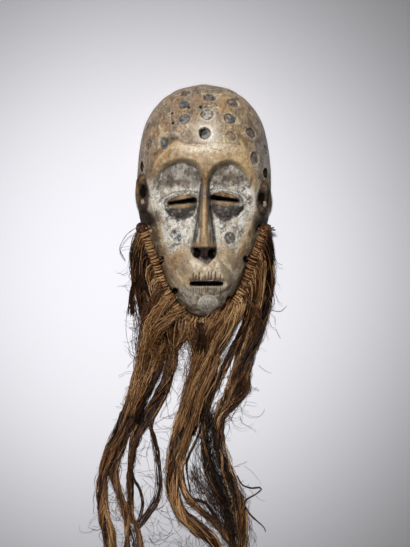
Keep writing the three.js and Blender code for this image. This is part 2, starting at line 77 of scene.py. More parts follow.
FACE_OUTLINE = [
    (1.6, 20), (-1.4, 27.5), (-6.3, 34.4), (-18, 38.5), (-30.6, 35.8), (-39.6, 29.5), (-46.8, 20), (-49, 8),
    (-47.7, -5), (-43.5, -19), (-39, -36), (-28.8, -57), (0, -66), (25.2, -57), (36, -39), (42.3, -24),
    (45.9, -9.7), (46.2, 3), (43.4, 15.5), (39.2, 25.9), (31.5, 33.5), (22.1, 36.9), (9.9, 32.6), (4.5, 26.5)]
BROW_OUTLINE = [
    (-50, 10), (-48, 24), (-43, 38), (-34, 47), (-25, 54), (-15, 51), (0, 50.5), (18, 51), (32, 49.5),
    (40, 41), (46, 24), (47, 8), (30, -5), (-30, -5)]
# Sections of the nose from the brow down: y, middle, half width of the ridge and of the base, ridge height
NOSE_SECTIONS = [
    (25, 1.8, 1.6, 3.2, 61), (14, 0.8, 2.2, 4.4, 59), (-4, 0.4, 2.5, 6.4, 60), (-22, 0.2, 2.7, 9, 62.5),
    (-36, 0.2, 3.8, 11, 65.5), (-41, 0.3, 4.2, 11.4, 65), (-45, 0.8, 2.8, 8.6, 60.5), (-55, 2.1, 0.5, 1, 50)]
NOSE_SHOULDER = 0.55
NOSTRILS = [(-6.6, -46.4), (7.2, -47.4)]
# The dark streak down each flank of the nose: drop below the eyes and distance from the middle
NOSE_STREAK = [(0, 8, 21, 36), (3.8, 4.6, 7.0, 9.6)]
# The painted shadow under the nose: drop below the eyes, half width and lean to the right
NOSE_UNDERSIDE = [
    (41, 46, 49, 52, 55, 57.5), (12.0, 11.6, 10.2, 7.0, 3.2, 0.0), (-0.6, 0.0, 0.4, 1.0, 2.2, 2.8)]
EYES = [
    {"at": (-20.7, -2.5), "size": (15, 12.5, 7), "inner": (-9.2, 0.9), "outer": (-31, -2)},
    {"at": (19.8, -1.6), "size": (15.5, 12.5, 7), "inner": (7.4, 3.2), "outer": (29.9, 0.4)}]
EYE_BASE = 47.0
LID_SIZE = (13.9, 5.6, 5.0)
LID_RISE = 4.0
SLIT_INNER_HALF = 1.9
SLIT_OUTER_HALF = 0.9
SLIT_TOP = 80.0
MOUTH = {"left": -12.6, "right": 16.9, "y": -74.0, "half": 2.2}
MOUTH_SWELL = {"at": (2, -71, 42.8), "size": (22, 14, 9.6)}
# Openings in the ears as the front shows them, painted black as shade: x, y, half width and half height
EAR_OPENINGS = [(-54.6, 8.8, 3.0, 6.4), (52.0, 2.4, 3.0, 5.8)]
# Pale spots under the openings of the ears: x and y
EAR_SPOTS = [(-55.2, -0.6), (54.6, -2.6)]
EARS = [
    {"at": (-56.4, 7.2), "pad": (10.5, 17.5, 5.0), "sink": (3.6, 8.4)},
    {"at": (54.8, 1.6), "pad": (9.5, 14.5, 5.0), "sink": (3.2, 7.2)}]
EAR_SINK = 4.6
TIE_HOLES = [(-56, 31.3), (55, 25.4)]
TIE_HOLE_RADIUS = 3.4
HOLE_DEPTH = 24.0
# The band runs round BAND_CENTRE from under the left ear to under the right one, placed by angles in degrees
BAND_CENTRE = (0.0, -20.0)
BAND_CHIN_HEIGHT = 19.0
BAND_CLIMB = 10.0
TIE_ANGLES = (185, 221, 248, 289, 321, 354)
TIE_ABOVE = 2.2
TIE_DEPTH = 17.0
BAND_HOLE_RADIUS = 4.1
BAND_RADIUS = 4.6
BAND_FROM = 183.0
BAND_TO = 356.0
KNOT_RADIUS = 5.6
INNER_KNOT_RADIUS = 4.2
STUB_LENGTH = 8.5
GAP = 0.35
WRAP_PITCH = 2.7
CORE_RADIUS = 3.5
CORE_TONE = 0.32
WRAP_RADIUS = 4.5
WRAP_WIDTH = 2.5
WRAP_TONE = 0.93
LOCK_LAND = 52.0
LOCK_HEAD_LIFT = 13.0
FIBRE_STEP = 6.6
FLOOR_GAP = 0.1
SHORT_SHARE = 0.14
LOOSE_SHARE = 0.16
TUFT_TONES = (-0.42, -0.14, 0.12, 0.46)
CHIN_ANGLE = 272.0
TURNS_RUN = 200.0

# Locks of raffia: the stretch of the band they hang from in degrees, the route on the floor, the widths
# along it, the thickness, the number of fibres, the tones along it from dark to golden, the turns of its
# twist in TURNS_RUN and how far its roots sweep away from the band
LOCKS = {
    "left_outer": {
        "band": (183, 201), "height": 14, "fibres": 210, "turns": -0.9,
        "tones": [0.32, 0.32, 0.36, 0.38, 0.28, 0.44, 0.76, 0.8],
        "route": [(-59, -30), (-61, -52), (-59, -74), (-53, -96), (-49, -119), (-54.5, -139),
                  (-60, -158), (-65.5, -180), (-74.5, -203), (-83, -222), (-89, -240), (-92.5, -262),
                  (-91, -284), (-86, -302), (-82, -326), (-80, -358)],
        "widths": [15, 14, 12, 9, 9, 10, 10, 11, 13, 15, 9]},
    "left_second": {
        "band": (197, 217), "height": 12, "fibres": 190, "turns": -1.4,
        "tones": [0.14, 0.24, 0.4, 0.38, 0.28, 0.52, 0.84, 0.7],
        "route": [(-54, -47), (-54, -76), (-49, -100), (-43, -120), (-46.5, -139), (-52.5, -158),
                  (-59, -180), (-68, -203), (-78, -225), (-81.5, -244), (-76, -265), (-68, -284),
                  (-64, -302), (-62, -346)],
        "widths": [15, 13, 11, 10, 9, 9, 9, 8, 11, 17, 18]},
    "left_third": {
        "band": (212, 238), "height": 15, "fibres": 220, "turns": -1.2, "sweep": 0.8,
        "tones": [0.12, 0.36, 0.34, 0.2],
        "route": [(-46, -68), (-42, -92), (-37, -112), (-39, -137), (-47, -158), (-57, -180), (-66, -202),
                  (-73, -220)],
        "widths": [15, 13, 11, 10, 8, 5, 2]},
    "left_inner": {
        "band": (232, 258), "height": 12, "fibres": 200, "turns": -1.4, "sweep": 1.0,
        "tones": [0.5, 0.46, 0.22, 0.1, 0.14, 0.34],
        "route": [(-35, -88), (-29, -104), (-24.5, -119), (-28, -138), (-33.5, -158), (-42, -180),
                  (-55.5, -202), (-63, -220), (-66, -240), (-66, -262), (-66, -284)],
        "widths": [15, 12, 11, 12, 13, 12, 10, 7, 6, 4]},
    "chin_left": {
        "band": (250, 268), "height": 11, "fibres": 130, "tones": [0.56, 0.4], "turns": -0.4, "sweep": 0.7,
        "route": [(-19, -102), (-17, -111), (-19, -120), (-25, -131)],
        "widths": [13, 11, 7, 3]},
    "middle_left": {
        "band": (262, 288), "height": 16, "fibres": 260, "turns": -1.7,
        "tones": [0.66, 0.7, 0.7, 0.66, 0.62, 0.7],
        "route": [(-6, -114), (-4.5, -136), (-6.5, -158), (-12.5, -178), (-20, -200), (-27, -226),
                  (-28, -256), (-21, -277), (-6, -292), (11, -311), (22, -350)],
        "widths": [15, 13, 12, 13, 13, 12, 11, 5]},
    "middle_right": {
        "band": (272, 291), "height": 13, "fibres": 170, "turns": -1.4,
        "tones": [0.68, 0.64, 0.5, 0.4, 0.56, 0.7],
        "route": [(10, -112), (6, -134), (3, -154), (-2, -176), (-10, -196), (-18, -218),
                  (-21.5, -244), (-14, -266), (2, -282), (18, -298), (30, -318), (36, -352)],
        "widths": [15, 12, 10, 10, 9, 7, 5, 6, 6, 6, 4]},
    "right_inner": {
        "band": (283, 295), "height": 14, "fibres": 150, "tones": [0.66, 0.6, 0.42], "turns": -1.0,
        "route": [(23.5, -97), (17.5, -114), (9.5, -132), (7, -150), (4, -170), (-2, -192), (-9, -210)],
        "widths": [12, 8, 6, 6.5, 8, 6, 3]},
    "right_third": {
        "band": (299, 318), "height": 12, "fibres": 120, "turns": -0.6,
        "tones": [0.4, 0.36, 0.22, 0.1, 0.04, 0.06, 0.2],
        "route": [(39, -82), (41, -100), (34.5, -118), (24, -138), (15, -157), (6, -178), (1, -198),
                  (1, -222), (5, -242), (13, -260), (21, -280), (25, -308), (23, -344)],
        "widths": [11, 6, 5.5, 6.5, 7.5, 10, 12, 9, 5, 3]},
    "right_second": {
        "band": (312, 336), "height": 15, "fibres": 210, "turns": -0.8,
        "tones": [0.26, 0.3, 0.32, 0.36, 0.52, 0.6, 0.5],
        "route": [(46, -64), (46.5, -88), (42, -112), (34, -134), (29, -154), (22, -176), (14, -194),
                  (13, -214), (18, -236), (27, -256), (33, -278), (34, -304), (35, -340)],
        "widths": [15, 12, 9, 9, 9, 10, 11, 9, 5]},
    "right_outer": {
        "band": (330, 356), "height": 13, "fibres": 230, "tones": [0.24, 0.3, 0.34, 0.3, 0.42], "turns": -0.8,
        "route": [(55, -37), (57, -66), (55, -90), (49, -113), (41, -134), (36.5, -152), (35.5, -168),
                  (25, -183), (15, -196), (10, -212)],
        "widths": [15, 14, 12, 11, 11, 10, 7, 3]}}

# Thin strands and single hairs off the locks: the lock they belong to, fibres, spread, thickness, tone
# and route with heights
STRANDS = [
    ("left_inner", 10, 0.9, 0.5, 0.12,
     [(-43, -184, 7), (-48.6, -200, 8), (-44.8, -213, 6), (-41.7, -225.5, 4), (-39.9, -240.4, 2),
      (-39.9, -259.1, 2), (-44.8, -274.1, 2), (-53.6, -286.5, 3), (-61, -295.3, 4)]),
    ("left_inner", 4, 0.6, 0.4, 0.2,
     [(-45, -190, 6), (-47, -210, 4), (-45, -226, 2), (-43.5, -240, 2), (-42.5, -257, 2),
      (-46.5, -272, 2), (-54.6, -284, 3), (-63, -292, 4)]),
    ("left_second", 8, 0.6, 0.5, 0.15,
     [(-66, -238, 6), (-62.9, -250.3, 3), (-57.9, -259.1, 2), (-55.4, -272.7, 2), (-57.9, -284, 2),
      (-61.4, -292.7, 3)]),
    ("right_second", 3, 0.35, 0.55, 0.2,
     [(30, -247, 4), (33.7, -254.1, 3), (42.4, -257.9, 2), (50.5, -257.2, 2), (52.0, -258.6, 2),
      (47.3, -262.8, 2), (37.4, -269.1, 2), (36.1, -272.8, 2), (42.4, -282.7, 2), (53.6, -292.7, 2),
      (55.4, -297.5, 2)]),
    ("middle_right", 6, 0.5, 0.45, 0.15,
     [(-3, -205, 6), (-7.5, -215.5, 4), (-12.4, -225.5, 3), (-15.6, -235.5, 3), (-15, -245.4, 3),
      (-12, -262, 3)]),
    ("middle_left", 7, 0.6, 0.5, 0.2,
     [(-25, -248, 6), (-19.9, -259.1, 3), (-12.4, -267.8, 2), (-1.3, -270.3, 2), (5, -276.5, 2),
      (12.5, -287.8, 2), (22.4, -295.3, 4)]),
    ("left_outer", 2, 0.2, 0.28, 0.0,
     [(-58.5, -22.5, 30), (-61.4, -24.2, 30), (-69.1, -29.8, 26), (-74.8, -39.2, 20), (-75.3, -44.3, 15),
      (-70.7, -53.1, 9)]),
    ("left_outer", 1, 0.0, 0.2, 0.1,
     [(-75.2, -42, 17), (-68, -40.8, 14), (-63, -41, 12)]),
    ("left_outer", 1, 0.0, 0.2, 0.3,
     [(-64, -82, 10), (-69.1, -97.9, 4), (-70.2, -112.3, 2), (-69.1, -124.9, 1), (-66, -133, 1)]),
    ("right_outer", 1, 0.0, 0.2, 0.3,
     [(55, -92, 8), (60, -97, 4), (68.4, -99.1, 2), (74.4, -93.8, 2)]),
    ("left_outer", 26, 1.2, 0.4, 0.1,
     [(-62, -70, 12), (-64.5, -80, 8), (-64.5, -92, 5), (-65, -101, 4)]),
    ("left_outer", 14, 2.6, 0.22, 0.15,
     [(-62, -88, 5), (-60, -104, 3), (-58, -118, 3), (-59.5, -132, 3), (-57, -148, 5)]),
    ("left_third", 24, 2.8, 0.3, 0.36,
     [(-36, -76, 26), (-44, -86, 28), (-51, -101, 22), (-52.5, -121, 17), (-56, -146, 15)]),
    ("left_inner", 56, 3.4, 0.3, 0.74,
     [(-28, -86, 26), (-39, -96, 28), (-49, -110, 23), (-52, -130, 17), (-57, -154, 15), (-65, -180, 14)]),
    ("chin_left", 44, 3.0, 0.3, 0.74,
     [(-18, -97, 26), (-30, -105, 28), (-43, -115, 23), (-49, -132, 18), (-54, -150, 15), (-60, -170, 14)]),
    ("right_inner", 50, 3.0, 0.3, 0.74,
     [(25, -92, 25), (18, -106, 27), (8, -122, 22), (0, -140, 18), (-6, -160, 17), (-15, -184, 16)]),
    ("middle_right", 44, 3.0, 0.3, 0.72,
     [(12, -99, 25), (5, -112, 27), (-3, -130, 20), (-9, -152, 17), (-17, -180, 16)]),
    ("right_second", 20, 2.0, 0.3, 0.4,
     [(37, -86, 25), (45, -96, 25), (48.5, -110, 19), (43.5, -125, 15), (34, -141, 14), (26, -158, 13)]),
    ("middle_left", 36, 2.2, 0.3, 0.78,
     [(14, -120, 22), (5, -138, 21), (-5, -158, 19), (-13, -180, 18), (-20, -204, 17)]),
    ("middle_left", 30, 1.8, 0.3, 0.72,
     [(13, -138, 18), (5, -158, 18), (-4, -180, 18), (-12, -202, 18), (-20, -228, 16)]),
    ("middle_left", 26, 1.2, 0.3, 0.1,
     [(11, -128, 20), (1, -148, 20), (-8, -170, 18), (-16, -194, 17)]),
    ("left_second", 28, 1.8, 0.3, 0.7,
     [(-37, -130, 21), (-47, -149, 18), (-56, -170, 16), (-65, -192, 14)]),
    ("left_third", 22, 1.4, 0.3, 0.1,
     [(-36, -142, 18), (-44, -159, 18), (-53, -178, 16), (-61, -198, 14)]),
    # A dark lump of fibres under the chin, darkened as painted shadow under it
    ("middle_left", 56, 3.4, 0.32, 0.24,
     [(-3, -110, 25), (-2, -117, 28), (-2, -125, 26), (-3, -134, 20)]),
    ("right_third", 100, 7.0, 0.17, 0.02,
     [(2, -188, 9), (4.5, -207, 7), (6, -234, 6), (13, -252.7, 5), (20, -270.7, 5), (26, -288.7, 4),
      (30, -312, 3)]),
    ("middle_right", 34, 4.0, 0.17, 0.3,
     [(-10, -240, 5), (-4, -258, 4), (8, -274, 3), (18, -288, 3), (27, -304, 3)])]

# Tangles of hair: the lock they belong to, count, middle, half sizes, heights, lengths, thickness, tone, curl
TANGLES = [
    ("left_inner", 90, (-37, -133), (17, 16), (17, 26), (14, 30), 0.16, 0.62, 0.09),
    ("left_third", 26, (-43, -112), (8, 20), (20, 27), (14, 28), 0.16, 0.5, 0.06),
    # A dark lump of fibres under the chin, darkened as painted shadow under it
    ("middle_left", 40, (-3, -118), (6, 7), (25, 31), (10, 20), 0.24, 0.1, 0.14),
    ("chin_left", 20, (-14, -110), (8, 5), (22, 29), (12, 22), 0.22, 0.7, 0.08),
    ("left_outer", 60, (-56, -118), (4, 26), (1, 9), (8, 18), 0.15, 0.15, 0.12),
    ("left_outer", 8, (-65, -62), (3, 24), (2, 16), (10, 18), 0.12, 0.15, 0.1),
    ("right_third", 40, (31, -122), (9, 22), (6, 18), (10, 22), 0.1, 0.05, 0.06),
    ("left_second", 44, (-80, -284), (20, 30), (0.3, 3), (12, 32), 0.12, 0.1, 0.09),
    ("left_inner", 64, (-44, -240), (14, 56), (0.3, 3), (14, 42), 0.11, 0.1, 0.08),
    ("left_inner", 20, (-15, -165), (8, 36), (0.3, 3), (14, 34), 0.11, 0.1, 0.08),
    ("middle_right", 70, (2, -262), (15, 24), (0.3, 6), (12, 34), 0.14, 0.15, 0.1),
    ("right_second", 14, (38, -262), (8, 40), (0.3, 3), (10, 26), 0.11, 0.12, 0.1),
    ("middle_left", 70, (-22, -304), (60, 8), (0.3, 3), (10, 26), 0.11, 0.1, 0.1),
    ("right_outer", 10, (46, -124), (6, 34), (0.3, 8), (10, 20), 0.12, 0.2, 0.09),
    ("right_outer", 24, (28, -180), (8, 20), (3, 13), (12, 30), 0.14, 0.15, 0.1)]
# How far the beard spreads along x, and over what length fibres past it are drawn in
SPREAD_X = (-109.0, 77.0)
SPREAD_SOFT = 3.0

DEEP_PIT = (0.8, 60.7)
# Round inlay pits: x, y, depth, how strongly outlined and what fills them
PITS = [
    (-16.6, 97, 0.7, 0.8, "grey"), (4.9, 92.6, 0.7, 1.0, "slate"), (25.7, 88.4, 0.7, 1.0, "slate"),
    (-18, 86.4, 0.6, 0.7, "blue"), (-36.5, 84, 0.2, 0.4, "tan"), (2.9, 77.6, 0.7, 1.0, "pale"),
    (-17.3, 73.6, 0.7, 0.8, "blue"), (23.4, 74, 0.7, 1.0, "half"), (42.6, 75, 0.25, 0.5, "tan"),
    (-36.5, 70, 0.2, 0.4, "tan"), (-50.3, 67, 0.6, 0.8, "grey"), (-16.2, 59.5, 0.3, 0.6, "tan"),
    (*DEEP_PIT, 2.6, 1.0, "deep"), (24.3, 58.5, 0.3, 0.7, "tan"), (42.4, 60.9, 0.8, 1.2, "slate"),
    (-36.4, 51.8, 0.7, 0.8, "blue"), (-49.6, 50.5, 0.5, 0.6, "grey"), (55.4, 46.2, 0.6, 1.1, "grey"),
    (45.4, 38.2, 1.0, 1.4, "slate"), (-57.5, 62, 0.4, 0.6, "grey"), (53.5, 66, 0.4, 0.6, "tan"),
    (-41, 93, 0.3, 0.5, "grey"), (-25.6, -31, 0.7, 0.8, "blue"), (23.8, -33.2, 0.7, 1.0, "slate")]
PIT_RADIUS = 5.2
# The size of a pit by what fills it, as a share of PIT_RADIUS
PIT_SIZES = {"deep": 1.0, "pale": 1.05, "half": 1.0, "blue": 0.94, "slate": 0.95, "grey": 0.85, "tan": 0.85}
# Holes of wood insects in the forehead: x and y
INSECT_HOLES = [(-13.5, 84), (-2.9, 84.4), (-28.3, 78.9), (-27.8, 70.1), (-7.4, 101.7), (-40.8, 83.7)]
INSECT_RADIUS = 1.25
# Open edges of the tie holes beside the band, painted black as shade: x, y, half width, half height and lean
# in degrees
HOLE_EDGES = [(-38.4, -53.6, 2.0, 4.0, 15), (-26.6, -81.7, 3.2, 4.2, 40), (23.2, -88.8, 3.4, 3.4, -35),
              (37.6, -52.4, 2.4, 3.4, -20)]
# Tooth marks over and under the mouth: where they stand along x, and the height they start from
UPPER_TICK_Y = -71.5
LOWER_TICK_Y = -76.8
UPPER_TICKS = [-10.0, -7.3, -4.6, 0.8, 4.4, 6.4, 10.6, 15.4]
LOWER_TICKS = np.linspace(-11.5, 15.0, 15)


def smooth(low, high, value):
    """A smooth step from 0 at low to 1 at high."""
    share = np.clip((value - low) / (high - low), 0.0, 1.0)
    return share * share * (3.0 - 2.0 * share)


def mix(first, second, share):
    """Numbers or colours, from the first to the second by a share for each place."""
    share = np.asarray(share)
    if share.ndim and (np.shape(first)[-1:] == (3,) or np.shape(second)[-1:] == (3,)):
        share = share[..., None]
    return first + (second - first) * share


def soft_line(value, at, width):
    """Strength from 0 to 1 of a soft line where a value comes to a level."""
    return np.exp(-((value - at) / width)**2)


def blob(a, b, wide, tall):
    """Strength from 0 to 1 of a soft oval spot round the zero of two distances."""
    return np.exp(-((a / wide)**2 + (b / tall)**2))


def oval(a, b, wide, tall):
    """Distance from the middle of an oval, 1 on its edge."""
    return np.sqrt((a / wide)**2 + (b / tall)**2)


def smooth_max(first, second, soft):
    share = np.clip(0.5 + 0.5 * (second - first) / soft, 0.0, 1.0)
    return first + (second - first) * share + soft * share * (1.0 - share)


def profile(stations):
    """A smooth curve through named stations, as a function of arrays."""
    at, value = np.array(stations, float).T
    slope = np.gradient(value, at)
    fine = np.linspace(at[0], at[-1], 1600)
    left = np.clip(np.searchsorted(at, fine, side="right") - 1, 0, len(at) - 2)
    span = at[left + 1] - at[left]
    t = (fine - at[left]) / span
    table = ((2 * t**3 - 3 * t**2 + 1) * value[left] + (t**3 - 2 * t**2 + t) * span * slope[left]
             + (3 * t**2 - 2 * t**3) * value[left + 1] + (t**3 - t**2) * span * slope[left + 1])
    return lambda where: np.interp(where, fine, table)


half_width = profile(HALF_WIDTHS)
middle_height = profile(MIDDLE_HEIGHTS)
hollow_height = profile(HOLLOW_HEIGHTS)
face_depth = profile(FACE_DEPTHS)


def lattice(cell, seed):
    """A repeatable random number from 0 to 1 for each whole-numbered cell."""
    keys = cell.astype(np.int64).astype(np.uint32)
    word = keys[..., 0] * np.uint32(73856093) ^ keys[..., 1] * np.uint32(19349663)
    word = word ^ keys[..., 2] * np.uint32(83492791) ^ np.uint32(seed * 7919 + 17)
    word = (word ^ (word >> np.uint32(15))) * np.uint32(2246822519)
    word = (word ^ (word >> np.uint32(13))) * np.uint32(3266489917)
    return (word ^ (word >> np.uint32(16))).astype(np.float64) / 4294967295.0


def noise(points, size, seed, octaves=1):
    """Smooth noise from -1 to 1 over points, with features of the given size."""
    total = np.zeros(points.shape[:-1])
    strength = 1.0
    whole = 0.0
    for octave in range(octaves):
        spot = points * (2.0**octave) / size + 31.7 * octave
        base = np.floor(spot)
        part = spot - base
        part = part * part * (3.0 - 2.0 * part)
        value = 0.0
        for corner in np.ndindex(2, 2, 2):
            pull = np.prod(np.where(np.array(corner) == 1, part, 1.0 - part), axis=-1)
            value = value + pull * lattice(base + corner, seed + octave)
        total += strength * (2.0 * value - 1.0)
        whole += strength
        strength *= 0.5
    return total / whole


def cells(points, size, seed):
    """Distance to the nearest and second nearest scattered seed point, in cell sizes."""
    spot = points / size
    base = np.floor(spot)
    nearest = np.full(points.shape[:-1], 9.0)
    second = nearest.copy()
    for step in np.ndindex(3, 3, 3):
        cell = base + np.array(step) - 1.0
        jitter = np.stack([lattice(cell, seed + k) for k in (0, 101, 202)], axis=-1)
        distance = np.linalg.norm(cell + jitter - spot, axis=-1)
        second = np.minimum(second, np.maximum(nearest, distance))
        nearest = np.minimum(nearest, distance)
    return nearest, second


def through(a, b, c, d, t):
    """The smooth curve from b to c at shares t of the way, with a before them and d after."""
    return 0.5 * (2 * b + (c - a) * t + (2 * a - 5 * b + 4 * c - d) * t**2 + (3 * b - a - 3 * c + d) * t**3)


def closed_curve(points, count):
    """Points along a smooth closed curve through a few places."""
    points = np.array(points, float)
    size = len(points)
    t = np.arange(count) * size / count
    i = t.astype(int)
    return through(*(points[(i + k) % size] for k in (-1, 0, 1, 2)), (t - i)[:, None])


def inside_distance(x, y, outline):
    """Distance to a closed outline, positive inside it."""
    nearest = np.full(x.shape, 1e9)
    inside = np.zeros(x.shape, bool)
    for a, b in zip(outline, np.roll(outline, -1, axis=0)):
        run = b - a
        t = np.clip(((x - a[0]) * run[0] + (y - a[1]) * run[1]) / (run @ run), 0, 1)
        nearest = np.minimum(nearest, (x - a[0] - t * run[0])**2 + (y - a[1] - t * run[1])**2)
        crosses = (a[1] > y) != (b[1] > y)
        rise = run[1] if abs(run[1]) > 1e-9 else 1e-9
        inside ^= crosses & (x < a[0] + (y - a[1]) * run[0] / rise)
    return np.where(inside, 1.0, -1.0) * np.sqrt(nearest)


FACE_CURVE = closed_curve(FACE_OUTLINE, 120)
BROW_CURVE = closed_curve(BROW_OUTLINE, 90)


def dome(x, y):
    across = np.clip(np.abs(x) / np.maximum(half_width(y), 0.01), 0, 1)
    return RIM_EDGE + (middle_height(y) - RIM_EDGE) * (1 - across**SIDE_POWER)**(1 / TOP_POWER)


def dome_normal(x, y):
    step = 0.5
    slope = np.stack([-(dome(x + step, y) - dome(x - step, y)) / (2 * step),
                      -(dome(x, y + step) - dome(x, y - step)) / (2 * step), np.ones_like(x + y)], axis=-1)
    return slope / np.linalg.norm(slope, axis=-1, keepdims=True)


def dome_place(x, y):
    x, y = np.float64(x), np.float64(y)
    return np.array([x, y, dome(x, y)])


def face_sink(x, y):
    fade = 1 - np.clip(np.abs(x) / FACE_FADE_HALF_WIDTH, 0, 1)**3
    return face_depth(y) * fade


def nose_parts(x, y):
    """Ridge half width, base half width, ridge height and distance from the middle of the nose."""
    at, middle, ridge, base, top = (np.array(column, float)[::-1] for column in zip(*NOSE_SECTIONS))
    away = np.abs(x - np.interp(y, at, middle))
    return np.interp(y, at, ridge), np.interp(y, at, base), np.interp(y, at, top), away


def segment_distance(x, y, start, end):
    """Distance to a segment and how far along it the nearest place is, from 0 to 1."""
    run = np.subtract(end, start).astype(float)
    t = np.clip(((x - start[0]) * run[0] + (y - start[1]) * run[1]) / (run @ run), 0, 1)
    return np.hypot(x - start[0] - t * run[0], y - start[1] - t * run[1]), t


def slit_places(eye, x, y):
    """Places along and above an eye's slit, measured from its middle."""
    run = np.subtract(eye["inner"], eye["outer"]) * (1 if eye["inner"][0] > eye["outer"][0] else -1)
    tilt = math.atan2(run[1], run[0])
    mx, my = np.add(eye["inner"], eye["outer"]) / 2
    along = (x - mx) * math.cos(tilt) + (y - my) * math.sin(tilt)
    return along, (y - my) * math.cos(tilt) - (x - mx) * math.sin(tilt)


def front_height(x, y):
    """Height of the carved front: the dome, the sunken face and the features on it."""
    skin = dome(x, y)
    edge = inside_distance(x, y, FACE_CURVE)
    wall = np.clip(edge / FACE_WALL_TAPER, 0, 1)
    wall = wall * 0.45 + smooth(0, 1, wall) * 0.55
    brow = smooth(0.0, 1.6, inside_distance(x, y, BROW_CURVE)) * smooth(-0.5, 0.7, -edge)
    skin = skin + 0.9 * brow - face_sink(x, y) * wall

    ridge, base, top, away = nose_parts(x, y)
    shoulder = ridge + (base - ridge) * NOSE_SHOULDER
    foot = np.minimum(skin - 1.0, top - 1.0)
    knee = foot + (top - foot) * NOSE_SHOULDER
    upper = np.clip((away - ridge * 0.7) / (shoulder - ridge * 0.7), 0, 1)
    lower = np.clip((away - shoulder) / (base - shoulder), 0, 2.5)
    nose = np.where(away < shoulder, top + (knee - top) * upper, knee + (foot - knee) * lower)
    nose = nose - 0.35 * (np.clip(away / ridge, 0, 1))**2
    nose = np.where((y < 25) & (y > -57), nose, skin - 9)
    skin = smooth_max(skin, nose, 0.9)

    for eye in EYES:
        (cx, cy), (rx, ry, rz) = eye["at"], eye["size"]
        swell = EYE_BASE + rz * np.sqrt(np.clip(1 - ((x - cx) / rx)**2 - ((y - cy) / ry)**2, 0, 1))
        near = ((x - cx) / rx)**2 + ((y - cy) / ry)**2 < 1
        skin = np.where(near, smooth_max(skin, swell, 1.6), skin)
        u, v = slit_places(eye, x, y)
        reach = (u / LID_SIZE[0])**2 + (v / LID_SIZE[1])**2
        lid = EYE_BASE + LID_RISE + LID_SIZE[2] * np.sqrt(np.clip(1 - reach, 0, 1))
        furrow = 0.9 * soft_line(np.sqrt(reach), 1.25, 0.16) * smooth(-1.0, 2.0, v)
        skin = np.where(reach < 1, smooth_max(skin, lid, 0.7), skin) - furrow
    (cx, cy, cz), (rx, ry, rz) = MOUTH_SWELL["at"], MOUTH_SWELL["size"]
    reach = ((x - cx) / rx)**2 + ((y - cy) / ry)**2
    skin = np.where(reach < 1, smooth_max(skin, cz + rz * np.sqrt(np.clip(1 - reach, 0, 1)), 2.0), skin)
    return skin


def warp(count, pull):
    """Rows from -1 to 1, closer together in the middle."""
    even = np.linspace(-1, 1, count)
    return even * (1 - pull) + pull * even**3


def outline_grid(columns, rows, y_low, y_high, width, pull):
    """Places that fill the mask's outline, spread so that the steep sides get their share."""
    u, v = np.meshgrid(warp(columns, pull[0]), warp(rows, pull[1]))
    a = u * np.sqrt(1 - v * v / 2)
    b = v * np.sqrt(1 - u * u / 2)
    radius = np.hypot(a, b)
    spread = np.where(radius > 0, np.sin(radius * np.pi / 2) / np.maximum(radius, 1e-9), 1)
    along = np.clip(b * spread, -1, 1)
    across = np.clip(a * spread / np.sqrt(np.maximum(1 - along**2, 1e-12)), -1, 1)
    y = y_low + (y_high - y_low) * (along + 1) / 2
    return width(y) * across, y


def grid_normals(points):
    """Normals of a surface given as a grid of points, pointing up."""
    across = np.gradient(points, axis=1)
    along = np.gradient(points, axis=0)
    normal = np.cross(across, along)
    length = np.linalg.norm(normal, axis=-1, keepdims=True)
    return normal / np.maximum(length, 1e-9)


def grid_solid(top, floor):
    """Vertices and faces of a closed block: a grid on top, a straight edge and a fan below."""
    rows, columns = top.shape[:2]
    number = np.arange(rows * columns).reshape(rows, columns)
    quads = np.stack([number[:-1, :-1], number[:-1, 1:], number[1:, 1:], number[1:, :-1]], -1).reshape(-1, 4)
    edge = np.concatenate([number[0, :-1], number[:-1, -1], number[-1, :0:-1], number[:0:-1, 0]])
    below = top.reshape(-1, 3)[edge].copy()
    below[:, 2] = floor
    first = rows * columns
    low = first + np.arange(len(edge))
    skirt = np.stack([np.roll(edge, -1), edge, low, np.roll(low, -1)], -1)
    middle = first + len(edge)
    fan = [(middle, b, a) for a, b in zip(low, np.roll(low, -1))]
    centre = below.mean(axis=0)[None]
    return np.concatenate([top.reshape(-1, 3), below, centre]), quads.tolist() + skirt.tolist() + fan


def add_object(name, data):
    """A new object in the scene."""
    piece = bpy.data.objects.new(name, data)
    bpy.context.scene.collection.objects.link(piece)
    return piece


def new_object(name, points, faces, shade_smooth=True):
    """A mesh object from points in millimetres in the mask's own places."""
    mesh = bpy.data.meshes.new(name)
    mesh.from_pydata(((points + SHIFT) * MM).tolist(), [], faces)
    mesh.update()
    if shade_smooth:
        mesh.polygons.foreach_set("use_smooth", np.ones(len(mesh.polygons), bool))
    return add_object(name, mesh)


def prism(outline, low, high):
    """A closed upright prism over an outline that runs anticlockwise."""
    size = len(outline)
    points = [(x, y, low) for x, y in outline] + [(x, y, high) for x, y in outline]
    faces = [tuple(range(size))[::-1], tuple(range(size, 2 * size))]
    faces += [(i, (i + 1) % size, size + (i + 1) % size, size + i) for i in range(size)]
    return np.array(points, float), faces


def slit_outline(start, end, half_start, half_end, taper=0.0):
    """A long rounded slot, anticlockwise, wavering a little as a knife leaves it."""
    start, end = np.array(start, float), np.array(end, float)
    along = (end - start) / np.linalg.norm(end - start)
    side = np.array([-along[1], along[0]])
    tip = 0.5 * (1 - taper)
    points = []
    for hand, first, last, waves, shift in ((-1, 0, 1, 9, 0), (1, 1, 0, 7, 2)):
        for share in np.linspace(first, last, 15):
            half = (half_start + (half_end - half_start) * share) * (1 - taper * abs(2 * share - 1)**3)
            uneven = 1 + 0.08 * math.sin(waves * share + shift)
            points.append(start + (end - start) * share + hand * side * half * uneven)
        place, half = (end, half_end) if hand < 0 else (start, half_start)
        corner = place - hand * along * half * tip
        points += [corner + hand * side * half * tip, corner - hand * side * half * tip]
    return np.array(points)


